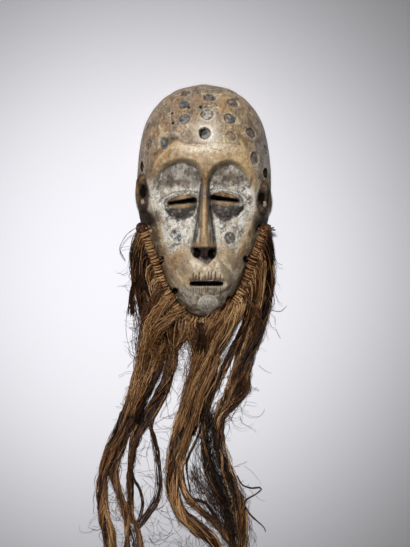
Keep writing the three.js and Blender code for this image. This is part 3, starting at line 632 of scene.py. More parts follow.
def drill_tool(x, y, radius):
    """A round tool along the wall's own direction, from outside the wall to inside it."""
    place = dome_place(x, y)
    normal = dome_normal(np.float64(x), np.float64(y))
    across = np.cross(normal, (0.0, 0.0, 1.0))
    across /= np.linalg.norm(across)
    up = np.cross(across, normal)
    sides = 28
    turns = np.arange(sides) * 2 * np.pi / sides
    ring = np.cos(turns)[:, None] * across + np.sin(turns)[:, None] * up
    low = place - normal * HOLE_DEPTH + ring * radius * 0.86
    high = place + normal * 6 + ring * radius * 1.06
    points = np.concatenate([low, high])
    faces = [tuple(range(sides)), tuple(range(sides, 2 * sides))[::-1]]
    faces += [(i, i + sides, (i + 1) % sides + sides, (i + 1) % sides) for i in range(sides)]
    return points, faces


def wall_place(angle, height):
    """A place on the wall at a given height, seen from BAND_CENTRE under an angle in degrees."""
    turn = np.radians(np.asarray(angle, float))
    inside = np.zeros_like(turn)
    outside = np.full_like(turn, 130.0)
    for _ in range(40):
        reach = (inside + outside) / 2
        x = BAND_CENTRE[0] + reach * np.cos(turn)
        y = BAND_CENTRE[1] + reach * np.sin(turn)
        on_mask = (y > CHIN_Y) & (np.abs(x) < half_width(y)) & (dome(x, y) > height)
        inside = np.where(on_mask, reach, inside)
        outside = np.where(on_mask, outside, reach)
    x = BAND_CENTRE[0] + inside * np.cos(turn)
    y = BAND_CENTRE[1] + inside * np.sin(turn)
    return np.stack([x, y, dome(x, y)], axis=-1)


def band_height(angle):
    return BAND_CHIN_HEIGHT + BAND_CLIMB * np.abs(np.cos(np.radians(angle)))**3


def join_tools(name, tools):
    """Several closed tools that don't meet, as one mesh."""
    points, faces, count = [], [], 0
    for tool_points, tool_faces in tools:
        points.append(tool_points)
        faces += [tuple(i + count for i in face) for face in tool_faces]
        count += len(tool_points)
    return new_object(name, np.concatenate(points), faces, False)


def cut(piece, tool):
    """Cuts a closed tool out of a closed piece and removes the tool."""
    modifier = piece.modifiers.new("cut", "BOOLEAN")
    modifier.operation = "DIFFERENCE"
    modifier.solver = "MANIFOLD"
    modifier.object = tool
    bpy.context.view_layer.update()
    evaluated = piece.evaluated_get(bpy.context.evaluated_depsgraph_get())
    mesh = bpy.data.meshes.new_from_object(evaluated)
    piece.modifiers.clear()
    old = piece.data
    piece.data = mesh
    mesh.name = piece.name
    bpy.data.meshes.remove(old)
    bpy.data.objects.remove(tool)


def groove(points, start, end, width):
    """Strength from 0 to 1 of a thin cut between two places of the front."""
    distance, t = segment_distance(points[..., 0], points[..., 1], start, end)
    return soft_line(distance, 0, width) * smooth(0, 0.15, t + 0.05) * smooth(0, 0.2, 1.05 - t)


# Thin cuts and cracks: start, end, width, depth
CUTS = [
    ((-13, 50.5), (-1, 48.2), 0.5, 0.5), ((5, 47.6), (18, 44.2), 0.5, 0.6), ((-50, 30), (-45, 22), 0.5, 0.4),
    ((-52, 27), (-44, 27), 0.4, 0.3), ((49, 22), (56, 14), 0.5, 0.5), ((51, 13), (57, 22), 0.4, 0.4),
    ((44, 21), (40, 11), 1.3, 1.0), ((-51, 6), (-46, 2), 0.5, 0.5), ((-37, 53), (-22, 58), 1.2, 0.5),
    ((-46, 40), (-27, 57), 1.1, 0.5), ((34, 54), (38, 46), 1.3, -0.4), ((-15, -40), (-22, -38), 0.5, 0.4)]


def crust_noise(points):
    """Lumps and sharp-edged flakes of the dried white clay."""
    flakes = smooth(-0.08, 0.08, noise(points, 4.2, 503, 2))
    return 0.6 * noise(points, 2.0, 501, 2) + 0.8 * (flakes - 0.5)


def kaolin(points, edge):
    """Share of white clay over the face, from 0 to 1."""
    x, y = points[..., 0], points[..., 1]
    cover = smooth(1.0, 3.0, edge) * smooth(-46, -30, y - 0.2 * np.abs(x))
    return cover * smooth(26, 14, y + 4 * noise(points, 9, 507))


def axis_distance(x, y, points):
    """Distance from the line that goes into the wall at x, y, and the depth along it."""
    place, out = dome_place(x, y), dome_normal(np.float64(x), np.float64(y))
    offset = points - place
    depth = offset @ out
    return np.linalg.norm(offset - depth[..., None] * out, axis=-1), depth


def pit_distance(pit, points):
    """Distance from the middle of an inlay pit, uneven as a knife leaves it, and its parts along x and y."""
    px, py, _, _, fill = pit
    place = dome_place(px, py)
    if py < 0:
        place[2] = float(front_height(np.float64(px), np.float64(py)))
    offset = points - place
    away = np.linalg.norm(offset, axis=-1) / PIT_SIZES[fill]
    turn = np.arctan2(offset[..., 1], offset[..., 0])
    lobes = 0.32 * np.sin(2 * turn + px) + 0.22 * np.sin(3 * turn + py) + 0.12 * np.sin(5 * turn + px * py)
    uneven = 0.7 * noise(points, 2.6, 50 + int(px) % 7, 2)
    return away + lobes + uneven, offset[..., 0], offset[..., 1]


def hole_edge(x, y, edge):
    """Share of a dark opening in front of a tie hole, hooked round its outer side."""
    across, along, wide, tall, lean = edge
    turn = math.radians(lean)
    a = (x - across) * math.cos(turn) - (y - along) * math.sin(turn)
    b = (x - across) * math.sin(turn) + (y - along) * math.cos(turn)
    return smooth(1.1, 0.8, oval(a, b, wide, tall))


def rough_skin(points, x, y, edge, front):
    """Tool marks, crust, flakes and grain of the outside, in millimetres."""
    rough_forehead = smooth(0, 3, -inside_distance(x, y, BROW_CURVE)) * smooth(-1, 1, -edge)
    socket = smooth(3, 6, edge) * smooth(2, 14, y) * front
    height = 0.45 * noise(points, 26, 3) + 0.26 * noise(points, 9, 5, 2)
    near, _ = cells(points, 7.0, 11)
    height += 0.45 * (near - 0.5) * rough_forehead
    height += 0.38 * crust_noise(points) * np.clip(kaolin(points, edge) + 0.25 * rough_forehead, 0, 1) * front
    near, _ = cells(points * np.array([1, 0.8, 1]), 3.4, 21)
    height -= 0.9 * smooth(0.35, 0.0, near) * socket * smooth(-0.3, 0.5, noise(points, 11, 8))
    height += 0.35 * noise(points, 2.6, 31, 2) * socket
    height += 0.13 * noise(points, 1.7, 35, 2)
    height += 0.10 * noise(points * np.array([1.0, 0.12, 0.6]), 1.6, 41, 2)
    near, _ = cells(points, 2.6, 15)
    height -= 0.35 * smooth(0.28, 0.1, near) * smooth(-0.2, 0.4, noise(points, 14, 17))
    return height


def relief(points, normals):
    """Fine carving, tool marks and wear over the outside, in millimetres along the normal."""
    x, y = points[..., 0], points[..., 1]
    front = smooth(0.15, 0.5, normals[..., 2])
    height = rough_skin(points, x, y, inside_distance(x, y, FACE_CURVE), front)
    for pit in PITS:
        away, _, _ = pit_distance(pit, points)
        _, _, depth, outline, _ = pit
        floor = smooth(PIT_RADIUS + 0.4, PIT_RADIUS - 0.8, away)
        height -= depth * floor
        height -= 0.6 * outline * soft_line(away, PIT_RADIUS, 0.7) * smooth(-0.5, 0.2, noise(points, 4, 57))
        height += 0.25 * outline * soft_line(away - PIT_RADIUS, 1.6, 0.8)
        height += 0.7 * noise(points, 2.2, 61) * floor * (depth < 1)
    for px, py in INSECT_HOLES:
        away, _ = axis_distance(px, py, points)
        height -= 2.2 * smooth(INSECT_RADIUS + 0.35, INSECT_RADIUS - 0.25, away)
    for start, end, width, depth in CUTS:
        height -= depth * groove(points, start, end, width) * front
    for tick in UPPER_TICKS:
        tip = (tick + 0.5 * math.sin(tick * 2.3), -64.8 + 0.8 * math.cos(tick * 3))
        height -= 0.85 * groove(points, (tick, UPPER_TICK_Y), tip, 0.55)
    for tick in LOWER_TICKS:
        tip = (tick - 0.2, -82.6 + 0.9 * math.sin(tick * 4))
        height -= 0.4 * groove(points, (tick, LOWER_TICK_Y), tip, 0.5)
    for hx, hy, wide, tall in EAR_OPENINGS:
        height -= 2.4 * smooth(1.1, 0.5, np.hypot((x - hx) / wide, (y - hy) / tall)) * (normals[..., 2] > 0)
    for edge_place in HOLE_EDGES:
        height -= 1.6 * hole_edge(x, y, edge_place) * smooth(-0.1, 0.2, normals[..., 2])
    for nx, ny in NOSTRILS:
        height -= 3.6 * smooth(3.6, 1.6, np.hypot(x - nx, (y - ny) * 0.8))
    ridge, base, _, away = nose_parts(x, y)
    flank = smooth(ridge + 0.2, ridge + 1.2, away) * smooth(base + 2.5, base, away) * smooth(-42, -38, y)
    flank = flank * smooth(24, 14, y)
    height -= 0.5 * flank * np.abs(noise(points * np.array([1.0, 0.14, 0.3]), 1.5, 71))
    mouth_edge, _ = segment_distance(x, y, (MOUTH["left"], MOUTH["y"]), (MOUTH["right"], MOUTH["y"]))
    height -= 0.6 * smooth(4.2, 2.0, mouth_edge)
    return height


def ear_rise(ear, flat):
    """How far an ear stands out of the dome, and where: a round pad with a deep sink in its middle."""
    out = dome_normal(*map(np.float64, ear["at"]))
    along = np.array([0.0, 1.0, 0.0]) - out * out[1]
    along /= np.linalg.norm(along)
    across = np.cross(along, out)
    offset = flat - dome_place(*ear["at"])
    a, b, c = offset @ across, offset @ along, offset @ out
    wide, tall, high = ear["pad"]
    pad = oval(a, b, wide, tall)
    rise = high * np.sqrt(np.clip(1 - pad**2, 0, 1)) - np.maximum(-c, 0) * smooth(1.1, 0.9, pad) * 0.5
    rise = rise - EAR_SINK * smooth(1.25, 0.55, oval(a, b, *ear["sink"]))
    return np.where(pad < 1.05, rise, 0.0)


def mask_surface():
    """The outside of the mask as a grid of points."""
    columns, rows = ((262, 300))
    x, y = outline_grid(columns, rows, CHIN_Y, CROWN_Y, half_width, (0.18, 0.12))
    points = np.stack([x, y, front_height(x, y)], axis=-1)
    normal = dome_normal(x, y)
    flat = np.stack([x, y, dome(x, y)], axis=-1)
    for ear in EARS:
        points = points + normal * ear_rise(ear, flat)[..., None]
    normal = grid_normals(points)
    keep = smooth(0.0, 2.0, points[..., 2] - RIM_EDGE)
    points = points + normal * (relief(points, normal) * keep)[..., None]
    points[..., 2] = np.maximum(points[..., 2], 0.6)
    return points


def hollow_surface():
    """The adzed inside of the mask as a grid of points."""
    low, high = CHIN_Y + WALL, CROWN_Y - WALL
    narrow = 1 - WALL / HALF_WIDTH_MOST

    def width(y):
        return narrow * half_width(CHIN_Y + (y - low) * (CROWN_Y - CHIN_Y) / (high - low))

    columns, rows = ((96, 126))
    x, y = outline_grid(columns, rows, low, high, width, (0, 0))
    across = np.clip(np.abs(x) / np.maximum(width(y), 0.01), 0, 1)
    z = hollow_height(y) * (1 - across**SIDE_POWER)**(1 / TOP_POWER)
    points = np.stack([x, y, z], axis=-1)
    near, _ = cells(points * np.array([1.2, 0.7, 1.0]), 9.0, 91)
    marks = 0.9 * (near - 0.5) + 0.3 * noise(points, 3, 93, 2)
    keep = smooth(0.0, 4.0, z)
    points = points - grid_normals(points) * (marks * keep)[..., None]
    points[..., 2] = np.maximum(points[..., 2], -0.5)
    return points


def carved_mask():
    """The carved mask: its outside, less the hollow, the slits and the tie holes."""
    points, faces = grid_solid(mask_surface(), 0.0)
    mask = new_object("mask_body", points, faces)
    points, faces = grid_solid(hollow_surface(), -6.0)
    cut(mask, new_object("hollow_tool", points, faces, False))
    tools = []
    for eye in EYES:
        outline = slit_outline(eye["outer"], eye["inner"], SLIT_OUTER_HALF, SLIT_INNER_HALF)
        tools.append(prism(outline, 25, SLIT_TOP))
    ends = (MOUTH["left"], MOUTH["y"]), (MOUTH["right"], MOUTH["y"])
    tools.append(prism(slit_outline(*ends, MOUTH["half"], MOUTH["half"], 0.6), 20, SLIT_TOP))
    tools += [drill_tool(x, y, TIE_HOLE_RADIUS) for x, y in TIE_HOLES]
    for angle in TIE_ANGLES:
        x, y, _ = wall_place(angle, band_height(angle) + TIE_ABOVE)
        tools.append(drill_tool(x, y, BAND_HOLE_RADIUS))
    cut(mask, join_tools("hole_tools", tools))
    mesh = mask.data
    mesh.polygons.foreach_set("use_smooth", np.ones(len(mesh.polygons), bool))
    mesh.polygons.foreach_set("material_index", np.zeros(len(mesh.polygons), int))
    mesh.materials.clear()
    return mask


def srgb(red, green, blue):
    """A colour as a screen shows it, from 0 to 255, in the linear numbers that a shader takes."""
    value = np.array([red, green, blue]) / 255.0
    return np.where(value <= 0.04045, value / 12.92, ((value + 0.055) / 1.055)**2.4)


# The light that the painted tones give back, as a share of what the photo shows
PAINT_LEVEL = 0.92
PIT_FILLS = {
    "grey": srgb(112, 102, 92), "slate": srgb(100, 97, 98), "blue": srgb(88, 99, 108),
    "tan": srgb(150, 128, 100), "pale": srgb(172, 160, 140), "half": srgb(138, 128, 112),
    "deep": srgb(92, 92, 92)}


def mottle(first, second, share):
    """From one tone to another, by a share for each place."""
    return mix(srgb(*first), srgb(*second), share)


def layered(colour, *layers):
    """Lays tones over the colours one after another, each by a share for each place."""
    for tone, share in layers:
        colour = mix(colour, srgb(*tone) if isinstance(tone, tuple) else tone, np.clip(share, 0, 1))
    return colour


def forehead_colour(points, x, y, broad, middle, fine):
    """Mottled tan, ochre, grey and mauve, with dark grains and pale rubbed spots."""
    blotch, patch = noise(points, 11, 261, 3), noise(points, 6, 271, 3)
    golden = smooth(0, 24, x) * smooth(52, 40, x)
    speck, rub = cells(points, 2.3, 233)[0], cells(points, 3.1, 237)[0]
    scratch = noise(points * np.array([1.0, 0.25, 0.4]), 1.8, 239, 2)
    pale = smooth(20, 6, np.hypot(x - 2, (y - 66) * 1.25) + 5 * middle)
    return layered(
        mottle((160, 134, 102), (140, 126, 110), smooth(-0.15, 0.2, broad)),
        ((174, 136, 94), smooth(0.05, 0.22, middle) * 0.7),
        ((156, 130, 116), smooth(0.06, 0.2, blotch) * 0.6),
        ((182, 156, 112), golden * (0.15 + 0.65 * smooth(-0.1, 0.2, patch))),
        ((196, 182, 154), smooth(0.22, 0.36, patch) * 0.75),
        ((150, 144, 132), smooth(34, 58, x) * 0.7 * smooth(90, 60, y)),
        ((100, 82, 62), smooth(0.22, 0.4, -middle) * 0.6),
        ((96, 76, 60), smooth(0.3, 0.5, -patch) * 0.7),
        ((116, 98, 82), smooth(-36, -60, x) * 0.55 * smooth(95, 30, y)),
        ((66, 50, 38), smooth(0.36, 0.24, speck) * smooth(-0.1, 0.2, patch + broad) * 0.85),
        ((98, 78, 58), smooth(0.1, 0.35, scratch) * 0.55),
        ((206, 196, 176), smooth(0.3, 0.2, rub) * smooth(0.0, 0.3, blotch) * 0.6),
        (mottle((196, 182, 160), (160, 146, 128), smooth(-0.1, 0.2, fine)), pale * 0.75))


def brow_colour(x, y, middle, wobble, streak):
    """The smooth band under the forehead, with a painted highlight along its upper edge."""
    front = np.stack([x, y, 0 * x], -1)
    # Painted highlight: a pale streak along the upper edge of the band
    shine = soft_line(x, 2, 24) * smooth(41.5, 46.5, y + 0.8 * wobble) * smooth(55, 50, y)
    return layered(
        mottle((178, 152, 114), (156, 130, 96), smooth(-0.25, 0.25, middle)),
        ((150, 116, 76), smooth(0.1, 0.5, streak) * 0.5),
        ((206, 176, 126), smooth(24, 34, x) * 0.5),
        ((226, 212, 192), shine * 0.95),
        ((152, 124, 88), smooth(-14, -36, x) * 0.6),
        ((214, 196, 160), smooth(0.05, 0.3, noise(front, 3.2, 521, 3)) * 0.45),
        ((122, 94, 64), smooth(0.1, 0.3, noise(front, 2.2, 525, 2)) * 0.4))


def socket_colour(points, x, y, edge, middle, fine, wobble):
    """Grey clay in the sockets, crusty white below, both with dark flakes and cracks, and a brown ring of
    painted shade under the brow.
    """
    crust, shade = crust_noise(points), noise(points, 5, 513, 3)
    brown = blob(x + 22, y - 15, 13, 4.0) + 0.8 * blob(x - 24, y - 21, 12, 5)
    grey = layered(
        mottle((114, 107, 98), (146, 139, 130), smooth(-0.2, 0.3, middle + 0.4 * crust - 0.1 * np.sign(-x))),
        ((182, 174, 162), smooth(6, 14, x) * 0.5),
        ((76, 66, 57), smooth(0.1, 0.24, shade) * 0.65),
        ((196, 190, 180), smooth(0.15, 0.4, crust) * smooth(-0.1, 0.2, -shade) * 0.35),
        (mottle((96, 78, 62), (70, 60, 54), smooth(-0.1, 0.2, crust)), brown * 1.1))
    white = layered(
        mottle((198, 192, 180), (156, 147, 133), smooth(-0.1, 0.25, middle + 0.3 * crust)),
        ((222, 219, 212), smooth(0.15, 0.4, crust) * 0.8))
    near, second = cells(points * np.array([1.0, 1.0, 0.6]), 4.4, 517)
    crack = smooth(0.16, 0.03, second - near) * smooth(-0.05, 0.25, noise(points, 8, 519, 2))
    dots, _ = cells(points, 1.9, 523)
    # Painted shade: a brown ring along the top of each socket, under the brow
    ring = smooth(5.5, 1.5, edge + 1.2 * fine) * smooth(4, 12, y) * smooth(44, 34, np.abs(x + 1))
    return layered(
        mix(grey, white, smooth(16, 8, y + 2.6 * wobble - 2 * (x > 0))),
        ((74, 66, 60), crack * 0.85),
        ((52, 45, 42), smooth(0.4, 0.24, dots) * smooth(0.0, 0.25, shade + 0.2 * crust) * 0.9),
        ((138, 124, 106), ring * 0.6))


def lower_face_colour(points, x, y, broad, middle, fine, wobble):
    """Ochre cheeks, a pale lip, a grey chin, and painted shade towards the sides."""
    turned = points[:, [1, 0, 2]]
    cream = noise(points * np.array([0.8, 0.5, 0.5]) + 0.4 * turned, 5.0, 533, 3)
    warm = blob(x + 27 - 0.3 * (y + 48), y + 48, 6.5, 15) + 0.4 * blob(x - 33, y + 38, 9, 14)
    lip = blob(x - 0.5, y + 59, 14.5, 8.5)
    chin = smooth(-73, -82, y + wobble) * smooth(34, 20, np.abs(x - 1))
    reach = np.hypot((x - 3.6) / 9.0, (y + 92) / 7.6) + 0.05 * wobble
    scraped = smooth(1.05, 0.85, reach)
    slant = smooth(0.1, 0.4, noise(points * np.array([1.0, 0.3, 0.3]) + 0.5 * turned, 2.0, 543, 2))
    scrapes = soft_line(reach, 0.95, 0.09) + 0.6 * soft_line(reach, 0.66, 0.07)
    grey = mottle((176, 166, 150), (124, 111, 94), smooth(-0.12, 0.2, noise(points, 3.0, 541, 3)))
    return layered(
        mottle((168, 143, 110), (144, 128, 106), smooth(-0.2, 0.25, broad + 0.3 * middle)),
        ((204, 190, 160), smooth(0.05, 0.3, cream) * smooth(-84, -74, y) * 0.75),
        # Painted shade: darker towards the sides of the lower face
        ((124, 106, 84), smooth(26, 40, np.abs(x - 2) + 1.5 * wobble) * 0.5),
        ((184, 136, 84), warm * 0.75 + 0.3 * warm * middle),
        ((104, 82, 60), smooth(0.15, 0.4, noise(points, 6, 531, 3)) * 0.5),
        (mottle((204, 191, 170), (164, 142, 112), smooth(-0.1, 0.3, middle + 0.8 * fine)),
         smooth(0.2, 0.62, lip + 0.3 * middle)),
        (grey, chin * 0.95),
        ((182, 176, 164), scraped * 0.6),
        ((214, 208, 198), slant * scraped * 0.6),
        ((222, 217, 207), scrapes * smooth(-97, -90, y) * 0.9))


def nose_colour(points, x, y, away, ridge, base, middle, fine):
    """Worn brown ridge with a painted highlight along its top, between flanks streaked black and white, and
    the share of the brown.
    """
    streak = noise(points * np.array([1.0, 0.12, 0.25]), 1.4, 281, 2)
    flank = mottle((104, 92, 80), (190, 185, 176), smooth(-0.1, 0.2, streak))
    broken = smooth(-0.45, 0.1, streak + fine)
    for reach, width, strength in ((0.0, 1.5, 0.95), (-2.3, 0.7, 0.6)):
        line = np.interp(-y, *NOSE_STREAK) + reach + 0.5 * middle
        flank = layered(flank, ((48, 43, 42), strength * soft_line(away, line, width) * broken))
    # Painted highlight: a pale line along the top of the ridge
    crest_highlight = smooth(1.2, 0.2, np.abs(x - 0.2 + 0.6 * middle)) * smooth(0, -12, y) * smooth(-34, -28, y)
    worn = layered(
        mottle((118, 94, 68), (160, 132, 94), smooth(18, -20, y)),
        ((150, 118, 84), smooth(-28, -40, y) * 0.8),
        ((120, 86, 54), smooth(0.05, 0.4, middle + 0.4 * fine) * 0.55),
        ((206, 172, 120), crest_highlight * 0.4))
    share = smooth(ridge + 1.1, ridge + 0.2, away + 0.6 * fine)
    tip = smooth(-35.5, -39, y + 0.8 * middle) * smooth(base + 0.5, base - 1.5, away) * 0.9
    share = np.maximum(share, tip)
    return mix(flank, worn, share), share


def brow_places(x, y, edge, middle, fine, wobble, grain, colour, gloss):
    """The band under the forehead, with a dark seam, and a painted highlight along its upper edge at its
    left.
    """
    brow_in = inside_distance(x, y, BROW_CURVE)
    brow = smooth(-0.5, 0.5, brow_in + 0.3 * wobble) * smooth(-1.0, 1.0, -edge)
    seam = smooth(2.2, 0.2, np.abs(brow_in + 0.5)) * smooth(-1, 1, -edge) * smooth(-8, -24, x)
    # Painted highlight: a pale line along the upper left edge of the band
    crest_highlight = smooth(1.6, 0.4, np.abs(brow_in - 1.6 + 0.4 * fine)) * smooth(-14, -22, x)
    crest_highlight = crest_highlight * smooth(-50, -40, x) * smooth(20, 30, y)
    colour = layered(colour, (brow_colour(x, y, middle, wobble, grain), brow * 0.94),
                     ((122, 92, 62), seam * 0.5), ((206, 172, 124), crest_highlight * 0.6))
    return colour, mix(gloss, 0.6, brow)


def face_places(points, x, y, edge, middle, fine, wobble, colour, gloss):
    """The sunken face: clay and ochre, the bevel over the sockets painted paler to lift its shade, clay spilt
    past the edge and dust.
    """
    face = smooth(0.6, 2.0, edge + 0.3 * wobble)
    ochre = layered(mottle((168, 138, 98), (140, 114, 84), smooth(-0.25, 0.25, middle)),
                    ((186, 172, 146), smooth(0.1, 0.3, noise(points, 4, 551, 3)) * 0.5))
    cheek = smooth(-24, -40, y + 0.45 * np.abs(x - 2) + 2.8 * wobble)
    rim = smooth(7, 2, edge + 1.4 * wobble) * smooth(-6, -20, y) * 0.85
    tone = layered(socket_colour(points, x, y, edge, middle, fine, wobble), (ochre, np.maximum(cheek, rim)))
    # Painted light: the brown bevel on the steep wall over the sockets, painted paler to lift the shade on it
    bevel = smooth(-0.5, 0.4, edge) * smooth(4.2, 2.2, edge) * smooth(-12, 4, y)
    bevel = bevel * smooth(46, 38, np.abs(x + 1))
    lit = mottle((172, 148, 114), (190, 164, 128), smooth(-0.2, 0.3, middle))
    spill = smooth(-5, -1, edge + 2.4 * wobble) * smooth(24, 15, y) * smooth(-24, -12, y)
    spill = spill * smooth(36, 42, np.abs(x)) * smooth(4, 1, edge)
    clay = mottle((196, 188, 174), (160, 142, 118), smooth(-0.1, 0.3, middle + 0.5 * fine))
    dusty = smooth(-33, -41, x + 2 * wobble) * smooth(-6, -14, y) * smooth(-58, -46, y)
    dust = mottle((152, 136, 112), (84, 65, 48), smooth(-0.1, 0.25, fine + middle))
    colour = layered(colour, (tone, face), (lit, bevel * 0.85), (clay, spill * 0.85), (dust, dusty * 0.8))
    return colour, mix(gloss, 0.22, face * (1 - cheek))


def nose_places(points, x, y, middle, fine, colour, gloss):
    """The nose, the line above it, the painted shadow under it, the nostrils painted black inside as shade
    and the smudge round them.
    """
    ridge, base, _, away = nose_parts(x, y)
    on_nose = smooth(24, 18, y) * smooth(-48, -44, y) * smooth(base + 1.6, base - 0.2, away)
    nose, worn = nose_colour(points, x, y, away, ridge, base, middle, fine)
    above = smooth(14, 22, y) * smooth(4.0, 1.8, np.abs(x - 1.5)) * smooth(44, 26, y)
    drop, half, lean = NOSE_UNDERSIDE
    beside = np.abs(x - np.interp(-y, drop, lean)) - np.interp(-y, drop, half)
    # Painted shadow over the underside of the nose
    under = smooth(-40.3, -42.0, y) * smooth(0.9, -0.5, beside + 0.4 * fine) * (y > -58)
    shadow = mottle((40, 31, 27), (70, 54, 46), smooth(0.0, 0.4, fine + middle))
    colour = layered(colour, (nose, on_nose), ((132, 102, 64), above * 0.75), (shadow, under))
    for nx, ny in NOSTRILS:
        # Painted shade: each nostril black inside, with no gloss
        nostril = smooth(4.5, 3.2, np.hypot(x - nx, (y - ny) * 0.8))
        colour = layered(colour, ((6, 4, 4), nostril))
        gloss = mix(gloss, 0.0, nostril)
    smudge = soft_line(np.hypot((x + 0.8) * 0.8, y + 49), 9, 2.5) * smooth(-40, -46, y)
    colour = layered(colour, ((120, 104, 88), smudge * smooth(-0.2, 0.3, fine) * 0.6))
    return colour, mix(gloss, 0.65, on_nose * worn * (y > -41))


def hole_places(points, x, y, z, fine, colour):
    """Tie holes painted black inside as shade, with worn edges, and the openings beside the band painted
    black as shade.
    """
    for hx, hy in TIE_HOLES:
        away, depth = axis_distance(hx, hy, points)
        away = away + 0.8 * fine
        # Painted shade: black inside each tie hole
        colour = layered(colour, ((10, 8, 7), smooth(5.2, 4.5, away) * (depth > -7)),
                         ((178, 160, 134), soft_line(away, 6.2, 0.8) * 0.6 * (depth > -3)))
    for edge_place in HOLE_EDGES:
        # Painted shade: black over each opening beside the band
        colour = layered(colour, ((14, 10, 8), hole_edge(x, y, edge_place) * (z > 10)))
    return colour


def deep_pit_places(x, y, middle, fine, colour):
    """The empty pit: a pale halo round it, a painted highlight on its lower right edge and a black crescent
    of painted shadow inside.
    """
    px, py = DEEP_PIT
    away = np.hypot(x - px, y - py)
    halo = soft_line(np.hypot(x - 4, (y - 58) * 1.1), 4, 8) * smooth(-0.4, 0.1, middle)
    # Painted highlight on the pit's outer edge on one side
    lit = soft_line(away, 6.9, 1.5) * smooth(-3, 2, x - px + 0.6 * (y - py) + 2 * fine)
    # Painted shadow: a black crescent inside the pit at its upper left
    shadow = smooth(5.6, 4.9, away) * smooth(4.0, 5.0, np.hypot(x - px - 1.4, y - py + 1.7) + 0.6 * fine)
    return layered(colour, ((214, 206, 192), halo * 0.6 * smooth(5.5, 7.0, away)),
                   ((232, 228, 218), lit * 0.7), ((12, 11, 11), shadow * 0.95))


def cut_places(points, front, colour):
    """Insect holes painted black inside as shade, and thin cuts, dark inside."""
    for px, py in INSECT_HOLES:
        away, depth = axis_distance(px, py, points)
        # Painted shade: black inside each insect hole
        dark = smooth(INSECT_RADIUS + 0.6, INSECT_RADIUS + 0.1, away) * (depth > -5)
        colour = layered(colour, ((14, 10, 8), dark))
    for start, end, width, depth in CUTS:
        dark = groove(points, start, end, width * 1.1) * 0.65 * front * (depth > 0)
        colour = layered(colour, ((66, 50, 36), dark))
    return colour


def worn_over(points, fine, grain, colour):
    """Dark specks and worn grain over everything."""
    tiny, _ = cells(points, 1.9, 241)
    rubbed = smooth(-0.1, 0.3, noise(points, 9, 291, 2))
    colour = colour * (1 - 0.7 * smooth(0.34, 0.16, tiny) * rubbed)[:, None]
    return PAINT_LEVEL * colour * (1 + 0.16 * grain + 0.18 * fine + 0.10 * noise(points, 1.2, 303))[:, None]


def bare_places(x, y, z, facing, middle, grain, colour, gloss):
    """Bare brown wood inside and on the rim."""
    narrow = 1 - WALL / HALF_WIDTH_MOST
    hollow = hollow_height(y) * (1 - np.clip(np.abs(x) / (narrow * half_width(y) + 0.01), 0, 1)**SIDE_POWER)
    inside = smooth(6.5, 4.0, z - np.maximum(hollow, 0)) * (facing < 0.2) * (hollow > 0)
    inside = np.where(facing < -0.3, 1.0, inside * (np.abs(x) < narrow * half_width(y)))
    wood = mottle((96, 70, 46), (66, 46, 31), smooth(-0.4, 0.4, middle + 0.4 * grain))
    return layered(colour, (wood, inside)), mix(gloss, 0.3, inside)


def mask_colours(points, normals):
    """Colour and gloss of every place of the mask, from named regions broken up by noise."""
    x, y, z = points.T
    facing = normals[:, 2]
    front = smooth(0.1, 0.45, facing)
    broad, middle, fine = noise(points, 22, 201, 2), noise(points, 7, 211, 3), noise(points, 2.4, 221, 2)
    wobble = 1.6 * noise(points, 6, 251, 2) + 0.7 * fine
    grain = noise(points * np.array([1.0, 0.1, 0.5]), 1.4, 301, 2)
    edge = inside_distance(x, y, FACE_CURVE)

    colour = forehead_colour(points, x, y, broad, middle, fine)
    gloss = 0.45 + 0.25 * smooth(-0.2, 0.5, broad)
    colour, gloss = brow_places(x, y, edge, middle, fine, wobble, grain, colour, gloss)
    colour, gloss = face_places(points, x, y, edge, middle, fine, wobble, colour, gloss)
    low = smooth(-42, -56, y + wobble)
    # Painted shade: the lower face darkened where its surface turns away from straight up
    side = smooth(0.6, 0.15, facing) * smooth(-15, -45, y)
    colour = layered(colour, (lower_face_colour(points, x, y, broad, middle, fine, wobble), low * front),
                     ((104, 87, 66), side * 0.6))
    gloss = mix(gloss, 0.55, low)
    colour, gloss = nose_places(points, x, y, middle, fine, colour, gloss)
    for eye in EYES:
        colour, gloss = eye_colour(points, x, y, eye, colour, gloss, fine, wobble)
    colour = mouth_colour(points, x, y, colour)
    for ear in EARS:
        colour = ear_colour(points, x, y, ear, colour, middle, fine)
    gloss = mix(gloss, 0.08, smooth(45, 49, np.abs(x)) * smooth(-30, -22, y) * smooth(28, 22, y))
    colour = hole_places(points, x, y, z, fine, colour)
    for pit in PITS:
        colour = pit_colour(points, pit, colour)
    colour = deep_pit_places(x, y, middle, fine, colour)
    colour = cut_places(points, front, colour)
    colour = worn_over(points, fine, grain, colour)
    colour, gloss = bare_places(x, y, z, facing, middle, grain, colour, gloss)
    gloss = gloss * smooth(0.004, 0.03, colour.mean(axis=1))
    return np.clip(colour, 0.003, 0.95), np.clip(gloss, 0, 1)


